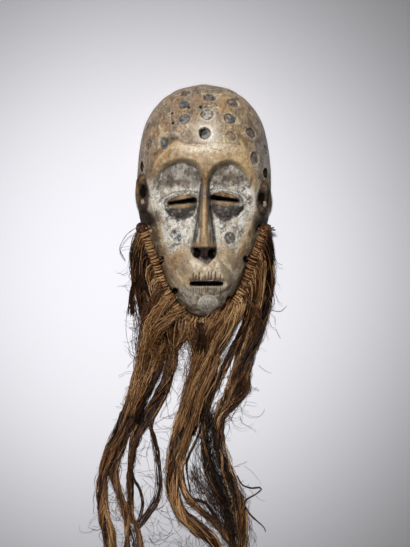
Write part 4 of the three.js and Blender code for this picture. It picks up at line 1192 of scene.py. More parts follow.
def eye_colour(points, x, y, eye, colour, gloss, fine, wobble):
    """Charcoal under the lids, worn lids round the slits with a painted highlight along each lower lid, a
    grey furrow above, and painted shade that darkens the slits to black.
    """
    (cx, cy), (rx, ry, _) = eye["at"], eye["size"]
    u, v = slit_places(eye, x, y)
    bulge = oval(x - cx, y - cy - 1, rx, ry + 4.5) + 0.08 * wobble
    dark = smooth(1.04, 0.94, bulge) * smooth(-3.5, -5.0, v)
    rough = fine + 0.6 * noise(points * np.array([0.6, 1.0, 1.0]), 3.4, 561, 2)
    coal = layered(mottle((44, 38, 36), (96, 88, 84), smooth(-0.2, 0.3, rough)),
                   ((150, 142, 134), smooth(0.3, 0.5, rough) * 0.7))
    reach = oval(u, v, LID_SIZE[0] - 0.2, LID_SIZE[1] + 0.6)
    skin = layered(
        mottle((172, 143, 106), (96, 74, 54), smooth(-0.1, 0.35, fine + 0.4 * noise(points, 5, 563))),
        ((84, 66, 54), smooth(1, -6, u) * smooth(0.0, 1.0, v) * 0.8),
        # Painted highlight: a pale band along the lower lid under the slit
        ((196, 172, 134), smooth(-2.0, -2.8, v) * smooth(-4.6, -3.8, v) * 0.8),
        ((96, 76, 58), smooth(0.5, 0.9, reach + 0.1 * wobble) * 0.45))
    crease = soft_line(reach, 1.14, 0.09) * smooth(-3, 1, v)
    gap, share = segment_distance(x, y, eye["inner"], eye["outer"])
    gap = gap - mix(SLIT_INNER_HALF, SLIT_OUTER_HALF, share)
    colour = layered(
        colour, (coal, dark * 0.95), (skin, smooth(1.04, 0.95, reach + 0.03 * wobble)),
        ((60, 52, 50), crease * (0.55 + 0.4 * smooth(-0.2, 0.3, wobble))),
        ((54, 46, 42), soft_line(reach, 1.08, 0.07) * smooth(0, -3, v) * 0.8),
        ((92, 90, 96), soft_line(reach, 1.5, 0.1) * smooth(0.5, 3, v) * 0.8),
        # Painted shade: brown round each slit and black in it
        ((70, 50, 36), smooth(2.2, 0.9, gap) * 0.7), ((14, 10, 8), smooth(0.95, 0.35, gap)))
    return colour, mix(gloss, 0.3, np.maximum(dark, 0))


def mouth_colour(points, x, y, colour):
    """Dark ticks over and under the mouth, a painted highlight on the upper edge of the slit and painted
    shade that darkens its edge.
    """
    upper = lower = 0
    for tick in UPPER_TICKS:
        tip = (tick + 0.5 * math.sin(tick * 2.3), -64.4 + 1.8 * math.cos(tick * 3))
        upper = upper + groove(points, (tick, UPPER_TICK_Y), tip, 0.6)
    for tick in LOWER_TICKS:
        tip = (tick - 0.2, -84 + 3.2 * math.sin(tick * 4))
        strength = 0.55 + 0.45 * math.sin(tick * 9)
        lower = lower + groove(points, (tick, LOWER_TICK_Y), tip, 0.42) * strength
    base = smooth(-66.5, -70.5, y + 1.2 * np.sin(1.7 * x) + 0.8 * np.sin(4.1 * x)) * smooth(-73, -71.5, y)
    # Painted highlight: a pale streak on the upper edge of the slit
    lit = smooth(0.7, 0.3, np.abs(y + 71.7)) * smooth(4.5, 3.0, np.abs(x - 4.6))
    # Painted shade: dark round the edge of the slit
    gap, _ = segment_distance(x, y, (MOUTH["left"] + 2, MOUTH["y"]), (MOUTH["right"] - 2, MOUTH["y"]))
    return layered(colour, ((92, 70, 48), base * smooth(18, 15, np.abs(x - 2.5)) * 0.85),
                   ((48, 34, 24), upper * 0.95), ((70, 54, 40), lower * 0.9), ((196, 190, 176), lit * 0.8),
                   ((44, 33, 26), smooth(2.9, 2.0, gap)))


def ear_colour(points, x, y, ear, colour, middle, fine):
    """A brown ear with its hollow painted as shade, dark round the rim and black inside, a pale spot under it
    and dark rubbing below.
    """
    place = dome_place(*ear["at"])
    offset = points - place
    side = int(place[0] > 0)
    near = np.sign(x) == np.sign(place[0])
    reach = oval(offset[:, 1], offset[:, 2], ear["pad"][1] + 1.5, ear["pad"][0] + 2)
    wood = mottle((58, 44, 33), (112, 86, 60), smooth(0.0, 0.42, middle + 0.4 * fine))
    (hx, hy, wide, tall), (sx, sy) = EAR_OPENINGS[side], EAR_SPOTS[side]
    opening = oval(x - hx, y - hy, wide, tall) + 0.12 * fine
    spot = np.hypot((x - sx) / 1.6, (y - sy) / 2.6) + 0.25 * fine
    smear = blob(y - hy + 24, np.abs(x) - 53, 8, 8.5) * near
    return layered(colour, (wood, smooth(1.15, 0.9, reach) * 0.9 * near),
                   # Painted shade: the opening dark round its rim and black inside
                   ((52, 38, 28), smooth(1.7, 1.1, opening) * 0.8), ((12, 9, 8), smooth(1.1, 0.85, opening)),
                   ((180, 168, 150), smooth(1.05, 0.8, spot) * 0.7),
                   ((36, 25, 18), np.clip(smear * 1.8 * (1.0 + 0.8 * middle), 0, 0.95)))


def pit_colour(points, pit, colour):
    """An inlay pit: uneven fill, painted shadow at its upper left and a painted highlight on its pale lower
    edge.
    """
    px, py, depth, outline, fill = pit
    away, dx, dy = pit_distance(pit, points)
    inner = smooth(PIT_RADIUS + 0.1, PIT_RADIUS - 0.6, away)
    filling = PIT_FILLS[fill]
    lump = noise(points, 2.4, 571 + int(abs(px)) % 9, 3)
    tone = layered(mix(filling, filling * 0.36, smooth(0.0, 0.2, lump)),
                   ((132, 104, 76), smooth(0.0, 0.3, noise(points, 3.2, 577, 2)) * 0.6),
                   (np.minimum(filling * 1.5 + 0.03, 0.42), smooth(0.1, 0.3, -lump) * (depth > 0.4)))
    if py < 0:
        flecks = smooth(-0.1, 0.2, noise(points, 1.6, 579 + int(px > 0), 2))
        tone = mix(tone, mottle((44, 44, 48), (214, 214, 212), flecks), 0.7 if px < 0 else 0.25)
    if fill == "half":
        tone = layered(tone, (PIT_FILLS["blue"] * 0.7, smooth(-0.3, 0.6, dx)))
    if fill == "deep":
        # Painted shadow: the deep pit's fill black at its upper left
        tone = mottle((20, 18, 18), (118, 122, 124), smooth(-0.2, -2.2, dy - 0.7 * dx + 2 * lump))
    # Painted shadow and highlight: the dark outline is heavier at the upper left and the pale rim brighter at
    # the lower right
    side = 0.5 + 0.5 * np.clip((dy - 0.6 * dx) / PIT_RADIUS, -1, 1)
    ring = soft_line(away - PIT_RADIUS, -0.2, 0.75)
    broken = smooth(-0.5, -0.05, noise(points, 3.6, 583, 2))
    pale = soft_line(away - PIT_RADIUS, 1.4, 0.8) * (0.3 + 0.7 * (1 - side))
    strength = 0.9 if fill in ("deep", "pale") else 0.35 * outline
    return layered(colour, (tone, inner * (0.95 if depth > 0.4 else 0.55)),
                   ((40, 32, 26), outline * ring * (0.4 + 0.6 * side) * broken),
                   ((212, 204, 188), pale * strength))


def link(tree, out_node, out_name, in_node, in_name):
    tree.links.new(out_node.outputs[out_name], in_node.inputs[in_name])


def new_material(name, roughness):
    """A material with its shader, its object coordinates and the tint stored on the mesh."""
    material = bpy.data.materials.new(name)
    material.use_nodes = True
    tree = material.node_tree
    shader = tree.nodes["Principled BSDF"]
    shader.inputs["Roughness"].default_value = roughness
    return material, tree, shader, tree.nodes.new("ShaderNodeTexCoord"), stored(tree, "tint")


def stored(tree, name):
    """A value stored on the mesh's points."""
    node = tree.nodes.new("ShaderNodeAttribute")
    node.attribute_name = name
    return node


def texture(tree, place, kind, scale, **settings):
    node = tree.nodes.new(kind)
    node.inputs["Scale"].default_value = scale
    for key, value in settings.items():
        node.inputs[key].default_value = value
    link(tree, place, "Object", node, "Vector")
    return node


def remap(tree, source, socket, low, high, to_low, to_high):
    node = tree.nodes.new("ShaderNodeMapRange")
    for key, value in (("From Min", low), ("From Max", high), ("To Min", to_low), ("To Max", to_high)):
        node.inputs[key].default_value = value
    link(tree, source, socket, node, "Value")
    return node


def multiply_colour(tree, source, socket, factor):
    node = tree.nodes.new("ShaderNodeMix")
    node.data_type = "RGBA"
    node.blend_type = "MULTIPLY"
    node.inputs[0].default_value = 1.0
    tree.links.new(source.outputs[socket], node.inputs[6])
    tree.links.new(factor.outputs[0], node.inputs[7])
    return node


def arithmetic(tree, operation, number):
    node = tree.nodes.new("ShaderNodeMath")
    node.operation = operation
    node.inputs[1].default_value = number
    return node


def bump(tree, shader, source, strength, distance):
    """Fine relief from a texture, with its height in metres."""
    node = tree.nodes.new("ShaderNodeBump")
    node.inputs["Strength"].default_value = strength
    node.inputs["Distance"].default_value = distance
    link(tree, source, "Fac", node, "Height")
    link(tree, node, "Normal", shader, "Normal")


def wood_material():
    """Painted wood: grit and specks over the stored tint, smoother where the stored gloss is high."""
    material, tree, shader, place, tint = new_material("carved wood", 0.6)
    grit = texture(tree, place, "ShaderNodeTexNoise", 900.0, Detail=6.0, Roughness=0.7)
    speck = texture(tree, place, "ShaderNodeTexVoronoi", 520.0)
    shade = remap(tree, grit, "Fac", 0.3, 0.7, 0.66, 1.30)
    dots = remap(tree, speck, "Distance", 0.05, 0.34, 0.55, 1.0)
    shaded = multiply_colour(tree, tint, "Color", shade)
    link(tree, multiply_colour(tree, shaded, 2, dots), 2, shader, "Base Color")
    gloss = stored(tree, "gloss")
    rough = remap(tree, gloss, "Fac", 0.0, 1.0, 0.82, 0.34)
    shine = remap(tree, gloss, "Fac", 0.0, 0.3, 0.04, 0.5)
    link(tree, shine, "Result", shader, "Specular IOR Level")
    vary = arithmetic(tree, "MULTIPLY_ADD", 0.25)
    link(tree, grit, "Fac", vary, 0)
    link(tree, rough, "Result", vary, 2)
    offset = arithmetic(tree, "SUBTRACT", 0.12)
    link(tree, vary, "Value", offset, 0)
    link(tree, offset, "Value", shader, "Roughness")
    fine = texture(tree, place, "ShaderNodeTexNoise", 1500.0, Detail=4.0, Roughness=0.6)
    bump(tree, shader, fine, 0.35, 0.0004)
    return material


def paint(piece, colour, gloss=None):
    """Stores a colour, and a gloss, on every vertex of a piece."""
    mesh = piece.data
    layer = mesh.color_attributes.new("tint", "FLOAT_COLOR", "POINT")
    rgba = np.ones((len(mesh.vertices), 4), np.float32)
    rgba[:, :3] = colour
    layer.data.foreach_set("color", rgba.ravel())
    if gloss is not None:
        layer = mesh.attributes.new("gloss", "FLOAT", "POINT")
        layer.data.foreach_set("value", gloss.astype(np.float32))


def mesh_places(piece):
    """Vertices of a piece in millimetres in the mask's own places, and their normals."""
    mesh = piece.data
    places = np.empty(len(mesh.vertices) * 3, np.float32)
    mesh.vertices.foreach_get("co", places)
    normals = np.empty(len(mesh.vertices) * 3, np.float32)
    mesh.vertex_normals.foreach_get("vector", normals)
    return places.reshape(-1, 3).astype(float) / MM - SHIFT, normals.reshape(-1, 3).astype(float)


def fast_mesh(name, points, triangles):
    """A smooth-shaded mesh object from arrays, in the mask's own millimetres."""
    mesh = bpy.data.meshes.new(name)
    mesh.vertices.add(len(points))
    mesh.vertices.foreach_set("co", ((points + SHIFT) * MM).astype(np.float32).ravel())
    mesh.loops.add(3 * len(triangles))
    mesh.polygons.add(len(triangles))
    mesh.polygons.foreach_set("loop_start", np.arange(len(triangles)) * 3)
    mesh.polygons.foreach_set("vertices", triangles.astype(np.int32).ravel())
    mesh.polygons.foreach_set("use_smooth", np.ones(len(triangles), bool))
    mesh.update(calc_edges=True)
    return add_object(name, mesh)


def unit(vectors):
    return vectors / np.maximum(np.linalg.norm(vectors, axis=-1, keepdims=True), 1e-9)


def tubes(paths, radius, tint, rng, sides=3, flat=0.6, spin=0.03):
    """Closed tubes along many paths of equal step count: points, triangles and colours."""
    count, steps, _ = paths.shape
    paths = np.concatenate([held(paths[..., :1]), paths[..., 1:]], axis=-1)
    tangent = unit(np.gradient(paths, axis=1))
    lean = np.array([0.0, 0.0, 1.0]) + rng.normal(0, 0.2, (count, 1, 3))
    side = unit(np.cross(tangent, lean))
    up = np.cross(side, tangent)
    turn = rng.uniform(0, 2 * np.pi, (count, 1)) + spin * rng.normal(0, 1, (count, 1)) * np.arange(steps)
    rings = []
    for k in range(sides):
        across, over = math.cos(2 * math.pi * k / sides), flat * math.sin(2 * math.pi * k / sides)
        a = across * np.cos(turn) - over * np.sin(turn)
        b = across * np.sin(turn) + over * np.cos(turn)
        rings.append(paths + radius[..., None] * (a[..., None] * side + b[..., None] * up))
    points = np.stack(rings, axis=2)
    number = np.arange(count * steps * sides).reshape(count, steps, sides)
    here, beside = number[:, :-1], np.roll(number, -1, axis=2)[:, :-1]
    ahead, across = number[:, 1:], np.roll(number, -1, axis=2)[:, 1:]
    walls = np.concatenate([np.stack([here, beside, across], -1).reshape(-1, 3),
                            np.stack([here, across, ahead], -1).reshape(-1, 3)])
    caps = []
    for k in range(1, sides - 1):
        caps.append(np.stack([number[:, 0, 0], number[:, 0, k + 1], number[:, 0, k]], -1))
        caps.append(np.stack([number[:, -1, 0], number[:, -1, k], number[:, -1, k + 1]], -1))
    colour = np.broadcast_to(tint[:, :, None], (count, steps, sides, 3))
    return points.reshape(-1, 3), np.concatenate([walls] + caps), colour.reshape(-1, 3)


def held(x):
    """Places along x, with those past the spread of the beard drawn in softly."""
    low, high = SPREAD_X
    x = np.where(x > high, high + SPREAD_SOFT * np.tanh((x - high) / SPREAD_SOFT), x)
    return np.where(x < low, low - SPREAD_SOFT * np.tanh((low - x) / SPREAD_SOFT), x)


def gather(name, bundles):
    """One object from several bundles of tubes."""
    points, triangles, colours, count = [], [], [], 0
    for bundle_points, bundle_triangles, bundle_colours in bundles:
        points.append(bundle_points)
        triangles.append(bundle_triangles + count)
        colours.append(bundle_colours)
        count += len(bundle_points)
    piece = fast_mesh(name, np.concatenate(points), np.concatenate(triangles))
    paint(piece, np.concatenate(colours))
    return piece


def run_along(line):
    """Length along a line, or along each of many lines, at each of its places."""
    steps = np.linalg.norm(np.diff(line, axis=-2), axis=-1)
    return np.concatenate([np.zeros_like(steps[..., :1]), np.cumsum(steps, axis=-1)], axis=-1)


def between_rows(where, at, rows):
    """Values of every column of a table, at places between its rows."""
    return np.stack([np.interp(where, at, column) for column in rows.T], axis=-1)


def value_along(values, share):
    """A value at a share of the way along evenly spaced values."""
    return np.interp(share, np.linspace(0, 1, len(values)), values)


def open_curve(places, step=1.0):
    """A smooth open curve through places, resampled at even steps, and its length."""
    places = np.array(places, float)
    padded = np.concatenate([2 * places[:1] - places[1:2], places, 2 * places[-1:] - places[-2:-1]])
    t = np.linspace(0, 1, 24, endpoint=False)[:, None]
    pieces = [through(*four, t) for four in zip(padded, padded[1:], padded[2:], padded[3:])]
    line = np.concatenate(pieces + [places[-1:]])
    run = run_along(line)
    even = np.linspace(0, run[-1], max(int(run[-1] / step), 4))
    return between_rows(even, run, line), run[-1]


def beside_wall(angle, distance):
    """A place off the wall beside the band, at a distance along the wall's own normal."""
    touch = wall_place(angle, band_height(angle))
    return touch + dome_normal(touch[..., 0], touch[..., 1]) * np.asarray(distance)[..., None]


BAND_ANGLES = np.linspace(BAND_FROM, BAND_TO, 240)
BAND_LINE = beside_wall(BAND_ANGLES, np.full(240, BAND_RADIUS + GAP))
BAND_RUN = run_along(BAND_LINE)


def band_frame(run):
    """Centre, direction along the band and level direction away from the mask, at lengths along it."""
    centre = between_rows(run, BAND_RUN, BAND_LINE)
    along = unit(between_rows(run, BAND_RUN, np.gradient(BAND_LINE, axis=0)))
    away = unit(np.stack([along[..., 1], -along[..., 0], np.zeros_like(run)], axis=-1))
    return centre, along, away


# Tones of raffia from nearly black to golden
RAFFIA_TONES = np.array([0.0, 0.3, 0.6, 0.85, 1.1])
RAFFIA_COLOURS = np.array([srgb(16, 6, 2), srgb(56, 31, 14), srgb(104, 67, 37), srgb(154, 112, 70),
                           srgb(196, 158, 112)])


def raffia_colour(tone):
    return between_rows(tone, RAFFIA_TONES, RAFFIA_COLOURS)


def wander(run, rng, count, sizes):
    """Smooth sideways drift of each fibre along its length, in three directions."""
    total = np.zeros(run.shape + (3,))
    for length, reach in sizes:
        wave = rng.uniform(0.7, 1.4, (count, 1, 3)) * 2 * np.pi / length
        total += reach * rng.normal(0, 1, (count, 1, 3)) * np.sin(
            run[..., None] * wave + rng.uniform(0, 2 * np.pi, (count, 1, 3)))
    return total


def lock_course(lock):
    """The middle line of a lock, its length, and the length along it and its direction at each place."""
    line, length = open_curve(lock["route"])
    return line, length, np.linspace(0, length, len(line)), np.gradient(line, axis=0)


def lock_width(lock, run, length):
    return np.interp(run, np.linspace(0, length, len(lock["widths"])), lock["widths"])


def lock_thickness(lock, width):
    return lock["height"] * np.clip(width / max(lock["widths"]), 0.4, 1)


def head_lift(run):
    """Height of a lock's underside, which comes down from the band to the floor."""
    return LOCK_HEAD_LIFT * smooth(0, 1, (LOCK_LAND - run) / LOCK_LAND)


def strand_places(lock, rng, count):
    """Strands that wander through a lock, and tufts twisted together in each strand.

    Gives the place of each fibre across and up the lock, as a function of the length along it, then the
    number of strands, the strand of each fibre, the number of tufts and the tuft of each fibre.
    """
    clumps, tufts = max(4, count // 22), max(8, count // 5)
    ring, reach = rng.uniform(0, 2 * np.pi, clumps), np.sqrt(rng.uniform(0.05, 1, clumps)) * 0.8
    pitch = rng.uniform(32, 75, clumps) * rng.choice([1, 1, -1], clumps)
    waves = rng.uniform(0, 2 * np.pi, (4, clumps))
    tuft_clump, tuft = rng.integers(0, clumps, tufts), rng.integers(0, tufts, count)
    which = tuft_clump[tuft]
    spread, angle = 0.36 * np.sqrt(rng.uniform(0, 1, tufts))[tuft], rng.uniform(0, 2 * np.pi, tufts)[tuft]
    apart = rng.normal(0, 0.055, (2, count))

    def across_lock(run):
        """Place of each fibre across and up the lock, in halves of its width and thickness."""
        spin = angle[:, None] + 2 * np.pi * run / pitch[which][:, None]
        a, b, c, d = waves[:, which, None]
        u = (reach * np.cos(ring))[which][:, None] + 0.2 * np.sin(run / 21 + a) + 0.06 * np.sin(run / 9 + b)
        v = (reach * np.sin(ring))[which][:, None] + 0.2 * np.sin(run / 19 + c) + 0.05 * np.sin(run / 8 + d)
        u = u + spread[:, None] * np.cos(spin) + apart[0][:, None]
        v = v + spread[:, None] * np.sin(spin) + apart[1][:, None]
        turn = lock["turns"] * 2 * np.pi * run / TURNS_RUN
        far_out = np.hypot(u, v)
        hold = np.where(far_out > 0.85, (0.85 + 0.2 * np.tanh((far_out - 0.85) / 0.2)) / far_out, 1)
        return (u * np.cos(turn) - v * np.sin(turn)) * hold, (u * np.sin(turn) + v * np.cos(turn)) * hold

    return across_lock, clumps, which, tufts, tuft


def lock_roots(lock, rng, u_first, chin):
    """Places on the band where the fibres of a lock start, over its top near the chin, and how they leave."""
    count = len(u_first)
    low, high = np.interp(lock["band"], BAND_ANGLES, BAND_RUN)
    share = np.clip(0.5 - 0.42 * u_first + rng.normal(0, 0.16, count), 0, 1)
    turn_at = (np.floor((low + (high - low) * share) / WRAP_PITCH) + 0.5) * WRAP_PITCH
    centre, along, away = band_frame(turn_at + rng.normal(0, 0.5, count))
    over = np.radians(rng.uniform(-8, 46 + 20 * chin, count))[:, None]
    up, down = np.array([0.0, 0.0, 1.0]), np.array([0.0, -1.0, 0.0])
    root = centre + (away * np.cos(over) + up * np.sin(over)) * rng.uniform(3.9, 4.8, count)[:, None]
    sweep = lock.get("sweep", 0.0)
    leave = unit(away * rng.uniform(0.3, 1.0, (count, 1)) * (1 + sweep)
                 + down * rng.uniform(0.3, 1.3, (count, 1)) * (1 - 0.75 * sweep)
                 - up * rng.uniform(0.0, 0.4, (count, 1)) + along * rng.normal(0, 0.25, (count, 1)))
    return root, leave


def fibre_tones(rng, clumps, which, tufts, tuft):
    """How much lighter or darker each fibre is, by its strand, its tuft and itself."""
    tone = rng.normal(0, 0.16, clumps)[which] + rng.choice(TUFT_TONES, tufts)[tuft]
    return (tone + rng.normal(0, 0.18, len(tuft)))[:, None]


def lock_bundle(lock, seed):
    """The fibres of one lock: they leave the band, gather in twisted strands and run along its route, darker
    as painted shade where they lie low in it.
    """
    rng = np.random.default_rng(seed)
    count = lock["fibres"] // 1
    line, length, station, slope = lock_course(lock)
    widths = value_along(lock["widths"], np.linspace(0, 1, len(line)))
    thick, lift = lock_thickness(lock, widths), head_lift(station)
    across_lock, clumps, which, tufts, tuft = strand_places(lock, rng, count)

    def spot(run):
        """Place and direction of each fibre at lengths along the lock."""
        x, y, dx, dy, width, depth, rise = (np.interp(run, station, values)
                                            for values in (*line.T, *unit(slope).T, widths, thick, lift))
        u, v = across_lock(run)
        place = x + dy * u * width / 2, y - dx * u * width / 2, rise + (1 + v) * depth / 2
        return np.stack(place, axis=-1), np.stack([dx, dy, 0 * dx], axis=-1)

    chin = smooth(60, 30, abs(np.mean(lock["band"]) - CHIN_ANGLE))
    root, leave = lock_roots(lock, rng, across_lock(np.full((count, 1), 30.0))[0][:, 0], chin)

    # Where each fibre has joined the lock and where it ends
    nearest = np.argmin(np.linalg.norm(root[:, None, :2] - line[None], axis=-1), axis=1)
    join = np.minimum(station[nearest] + rng.uniform(18, 58, count), length * 0.85)
    end = np.maximum(length * np.minimum(rng.uniform(0.72, 1.06, count), 1), join + 12)
    short = rng.uniform(0, 1, count) < SHORT_SHARE
    end = np.where(short, join + (end - join) * rng.uniform(0.3, 0.9, count), end)

    first_steps, last_steps = 9, max(8, int(length * 0.92 / FIBRE_STEP))
    t = np.linspace(0, 1, first_steps, endpoint=False)[None, :, None]
    meet, heading = (value[:, 0] for value in spot(join[:, None]))
    span = np.linalg.norm(meet - root, axis=-1)[:, None]
    pull_out = leave * span * rng.uniform(0.3, 0.8 + 0.3 * lock.get("sweep", 0.0), (count, 1))
    pull_in = heading * span * 0.9
    first = ((2 * t**3 - 3 * t**2 + 1) * root[:, None] + (t**3 - 2 * t**2 + t) * pull_out[:, None]
             + (3 * t**2 - 2 * t**3) * meet[:, None] + (t**3 - t**2) * pull_in[:, None])
    run = join[:, None] + (end - join)[:, None] * np.linspace(0, 1, last_steps)[None]
    path = np.concatenate([first, spot(run)[0]], axis=1)

    # Crimp by tuft and fibre, and a wide drift for the loose ones
    far = run_along(path)
    even = np.linspace(0, length, path.shape[1])
    drift = wander(np.broadcast_to(even, (tufts, len(even))), rng, tufts, [(48, 0.5), (20, 0.3)])[tuft]
    drift += wander(far, rng, count, [(60, 0.35), (26, 0.2), (15, 0.1)])
    loose = rng.uniform(0, 1, count) < LOOSE_SHARE
    drift += wander(far, rng, count, [(80, 1.6), (33, 1.2), (17, 0.5)]) * loose[:, None, None]
    drift[..., 2] *= 0.6
    path = path + drift * smooth(3, 45, far)[..., None]
    thin = np.where(loose[:, None], 0.22, rng.uniform(0.26, 0.54, (count, 1)))
    radius = thin * (1 - 0.45 * smooth(0.85, 1.0, np.linspace(0, 1, path.shape[1]))[None])
    path[..., 2] = np.maximum(path[..., 2], radius + FLOOR_GAP)

    # Painted shade: fibres that lie lower in the lock, under its top, are darkened, less so at its sides
    inner = np.interp(run, station, lift + thick) - path[:, first_steps:, 2]
    inner = inner * (1 - 0.9 * smooth(0.4, 0.9, np.abs(across_lock(run)[0])))
    deep = np.concatenate([np.repeat(inner[:, :1], first_steps, axis=1), inner], axis=1)
    tone = fibre_tones(rng, clumps, which, tufts, tuft) * (1 - 0.35 * smooth(120, 240, far))
    tone = tone + value_along(lock["tones"], far / length) + (0.3 * chin - 0.12) * smooth(34, 6, far)
    tone = tone + 0.10 * np.sin(far / rng.uniform(9, 22, (count, 1)))
    tone = tone - 0.7 * smooth(0.8, 6.5, deep) * smooth(5, 30, far)
    return tubes(path, radius, raffia_colour(tone), rng)


def strand_bundle(strand, seed):
    """A thin strand of a few fibres along its own route."""
    _, count, spread, thickness, tone, route = strand
    rng = np.random.default_rng(seed)
    line, length = open_curve(route, 3.0)
    steps = len(line)
    run = np.broadcast_to(np.linspace(0, length, steps), (count, steps))
    frizz = [(50, spread * 0.55), (16, spread * 0.1 + 0.1), (6, 0.06)]
    fan = 0.45 + 0.55 * smooth(0, 30, run)[..., None]
    path = line[None] + fan * rng.normal(0, spread, (count, 1, 3)) * np.array([1, 1, 0.7])
    path = path + wander(run, rng, count, frizz)
    path[..., 2] = np.maximum(path[..., 2], thickness + FLOOR_GAP)
    radius = np.full((count, steps), thickness) * (1 - 0.5 * smooth(0.8, 1.0, np.linspace(0, 1, steps)))
    shade = tone + rng.normal(0, 0.08 + 0.16 * tone, (count, 1)) + 0.06 * np.sin(run / 13)
    return tubes(path, radius, raffia_colour(shade), rng, flat=0.8)


def flyaway_bundle(lock, seed):
    """Fine curled hairs that stand off a lock."""
    rng = np.random.default_rng(seed)
    count = lock["fibres"] // 9
    line, length, station, slope = lock_course(lock)
    steps = 15
    share = np.linspace(0, 1, steps)
    start = rng.uniform(0.08, 0.92, count)[:, None] * length
    run = start + share[None] * rng.uniform(18, 55, count)[:, None]
    width = lock_width(lock, run[:, :1], length)
    heading = unit(between_rows(run[:, 0], station, slope))
    side = np.stack([heading[:, 1], -heading[:, 0]], axis=-1)[:, None]
    hand = rng.choice([-1.0, 1.0], (count, 1))
    reach = width / 2 * rng.uniform(0.4, 1.0, (count, 1)) + share * rng.uniform(-3, 3.5, (count, 1))
    flat = between_rows(run, station, line) + side * (hand * reach)[..., None]
    height = rng.uniform(1.5, lock["height"], (count, 1)) * np.linspace(1, 0.3, steps)
    path = np.concatenate([flat, (height + head_lift(run))[..., None]], axis=-1)
    path = path + wander(run, rng, count, [(34, 1.2), (14, 0.4)])
    radius = np.full((count, steps), 0.12) * rng.uniform(0.7, 1.6, (count, 1))
    path[..., 2] = np.maximum(path[..., 2], radius + FLOOR_GAP)
    tone = rng.uniform(0.05, 0.75, (count, 1)) + np.zeros((count, steps))
    return tubes(path, radius, raffia_colour(tone), rng, flat=1.0)


def tangle_bundle(tangle, seed):
    """Curled hairs that start anywhere in an oval and bend at random."""
    _, count, (cx, cy), (wide, tall), (low, high), (short, long), thickness, tone, curl = tangle
    rng = np.random.default_rng(seed)
    count //= 1
    steps = 16
    reach, turn = np.sqrt(rng.uniform(0, 1, count)), rng.uniform(0, 2 * np.pi, count)
    step = rng.uniform(short, long, (count, 1)) / (steps - 1)
    share = np.linspace(0, 1, steps)[None]
    bend = curl * rng.normal(0, 1, (count, 1))
    waves = rng.uniform(5, 14, (count, 1))
    bend = bend + 0.6 * curl * np.sin(share * waves + rng.uniform(0, 6, (count, 1)))
    course = rng.normal(-np.pi / 2, 1.1, (count, 1)) + np.cumsum(bend * step, axis=1)
    x = (cx + wide * reach * np.cos(turn))[:, None] + np.cumsum(np.cos(course) * step, axis=1)
    y = (cy + tall * reach * np.sin(turn))[:, None] + np.cumsum(np.sin(course) * step, axis=1)
    z = rng.uniform(low, high, (count, 1))
    z = z + (high - low) * 0.35 * np.sin(share * rng.uniform(3, 9, (count, 1)))
    radius = thickness * rng.uniform(0.7, 1.4, (count, 1)) * (1 - 0.5 * share**3)
    path = np.stack([x, y, np.maximum(z, radius + FLOOR_GAP)], axis=-1)
    shade = tone + rng.normal(0, 0.14, (count, 1)) + 0 * share
    return tubes(path, radius, raffia_colour(shade), rng, flat=0.9)


def raffia_material():
    """Dry shiny fibre, with fine streaks over the stored tint."""
    material, tree, shader, place, tint = new_material("raffia", 0.5)
    shader.inputs["Specular IOR Level"].default_value = 0.28
    streak = texture(tree, place, "ShaderNodeTexNoise", 700.0, Detail=3.0, Roughness=0.6)
    shade = remap(tree, streak, "Fac", 0.3, 0.7, 0.72, 1.22)
    link(tree, multiply_colour(tree, tint, "Color", shade), 2, shader, "Base Color")
    rough = remap(tree, streak, "Fac", 0.3, 0.7, 0.30, 0.52)
    link(tree, rough, "Result", shader, "Roughness")
    bump(tree, shader, streak, 0.4, 0.0001)
    return material


def curl_bundle(lock, seed):
    """Short bent fibres that lie across the top of a lock."""
    rng = np.random.default_rng(seed)
    count = lock["fibres"] // 8
    line, length, station, slope = lock_course(lock)
    steps = 12
    at = rng.uniform(0.03, 0.9, count) * length
    x, y, dx, dy = (np.interp(at, station, column) for column in (*line.T, *slope.T))
    width = lock_width(lock, at, length)
    across = rng.uniform(-0.5, 0.5, count) * width
    x, y = x + dy * across, y - dx * across
    reach = rng.uniform(9, 24, count)[:, None]
    share = np.linspace(0, 1, steps)[None]
    bend = rng.normal(0, 0.6, (count, 1)) * share + 0.3 * np.sin(share * rng.uniform(4, 12, (count, 1)))
    course = np.arctan2(dy, dx)[:, None] + rng.normal(-0.25, 0.35, (count, 1)) + bend
    step = reach / (steps - 1)
    flat = np.stack([x[:, None] + np.cumsum(np.cos(course) * step, axis=1),
                     y[:, None] + np.cumsum(np.sin(course) * step, axis=1)], axis=-1)
    top = head_lift(at) + lock_thickness(lock, width)
    height = (top + rng.uniform(-2.5, 1.2, count))[:, None] + 0.8 * np.sin(share * np.pi) - 1.5 * share**2
    path = np.concatenate([flat, np.maximum(height, 0.4)[..., None]], axis=-1)
    path = path + wander(share * reach, rng, count, [(16, 0.5), (7, 0.15)])
    path[..., 2] = np.maximum(path[..., 2], 0.3)
    radius = np.full((count, steps), 0.17) * rng.uniform(0.7, 1.5, (count, 1))
    tone = value_along(lock["tones"], at / length)[:, None] + rng.normal(0.16, 0.24, (count, 1))
    tone = tone + np.zeros((count, steps))
    return tubes(path, radius, raffia_colour(tone), rng, flat=0.8)


def band_core(rng):
    """The core of the band, painted dark as the shade between the turns."""
    steps = 90
    centre, _, _ = band_frame(np.linspace(0, BAND_RUN[-1], steps))
    # Painted shade: the core's dark tone stands for the shade between the turns
    dark = raffia_colour(np.full((1, steps), CORE_TONE))
    return tubes(centre[None], np.full((1, steps), CORE_RADIUS), dark, rng, sides=8, flat=1.0, spin=0)


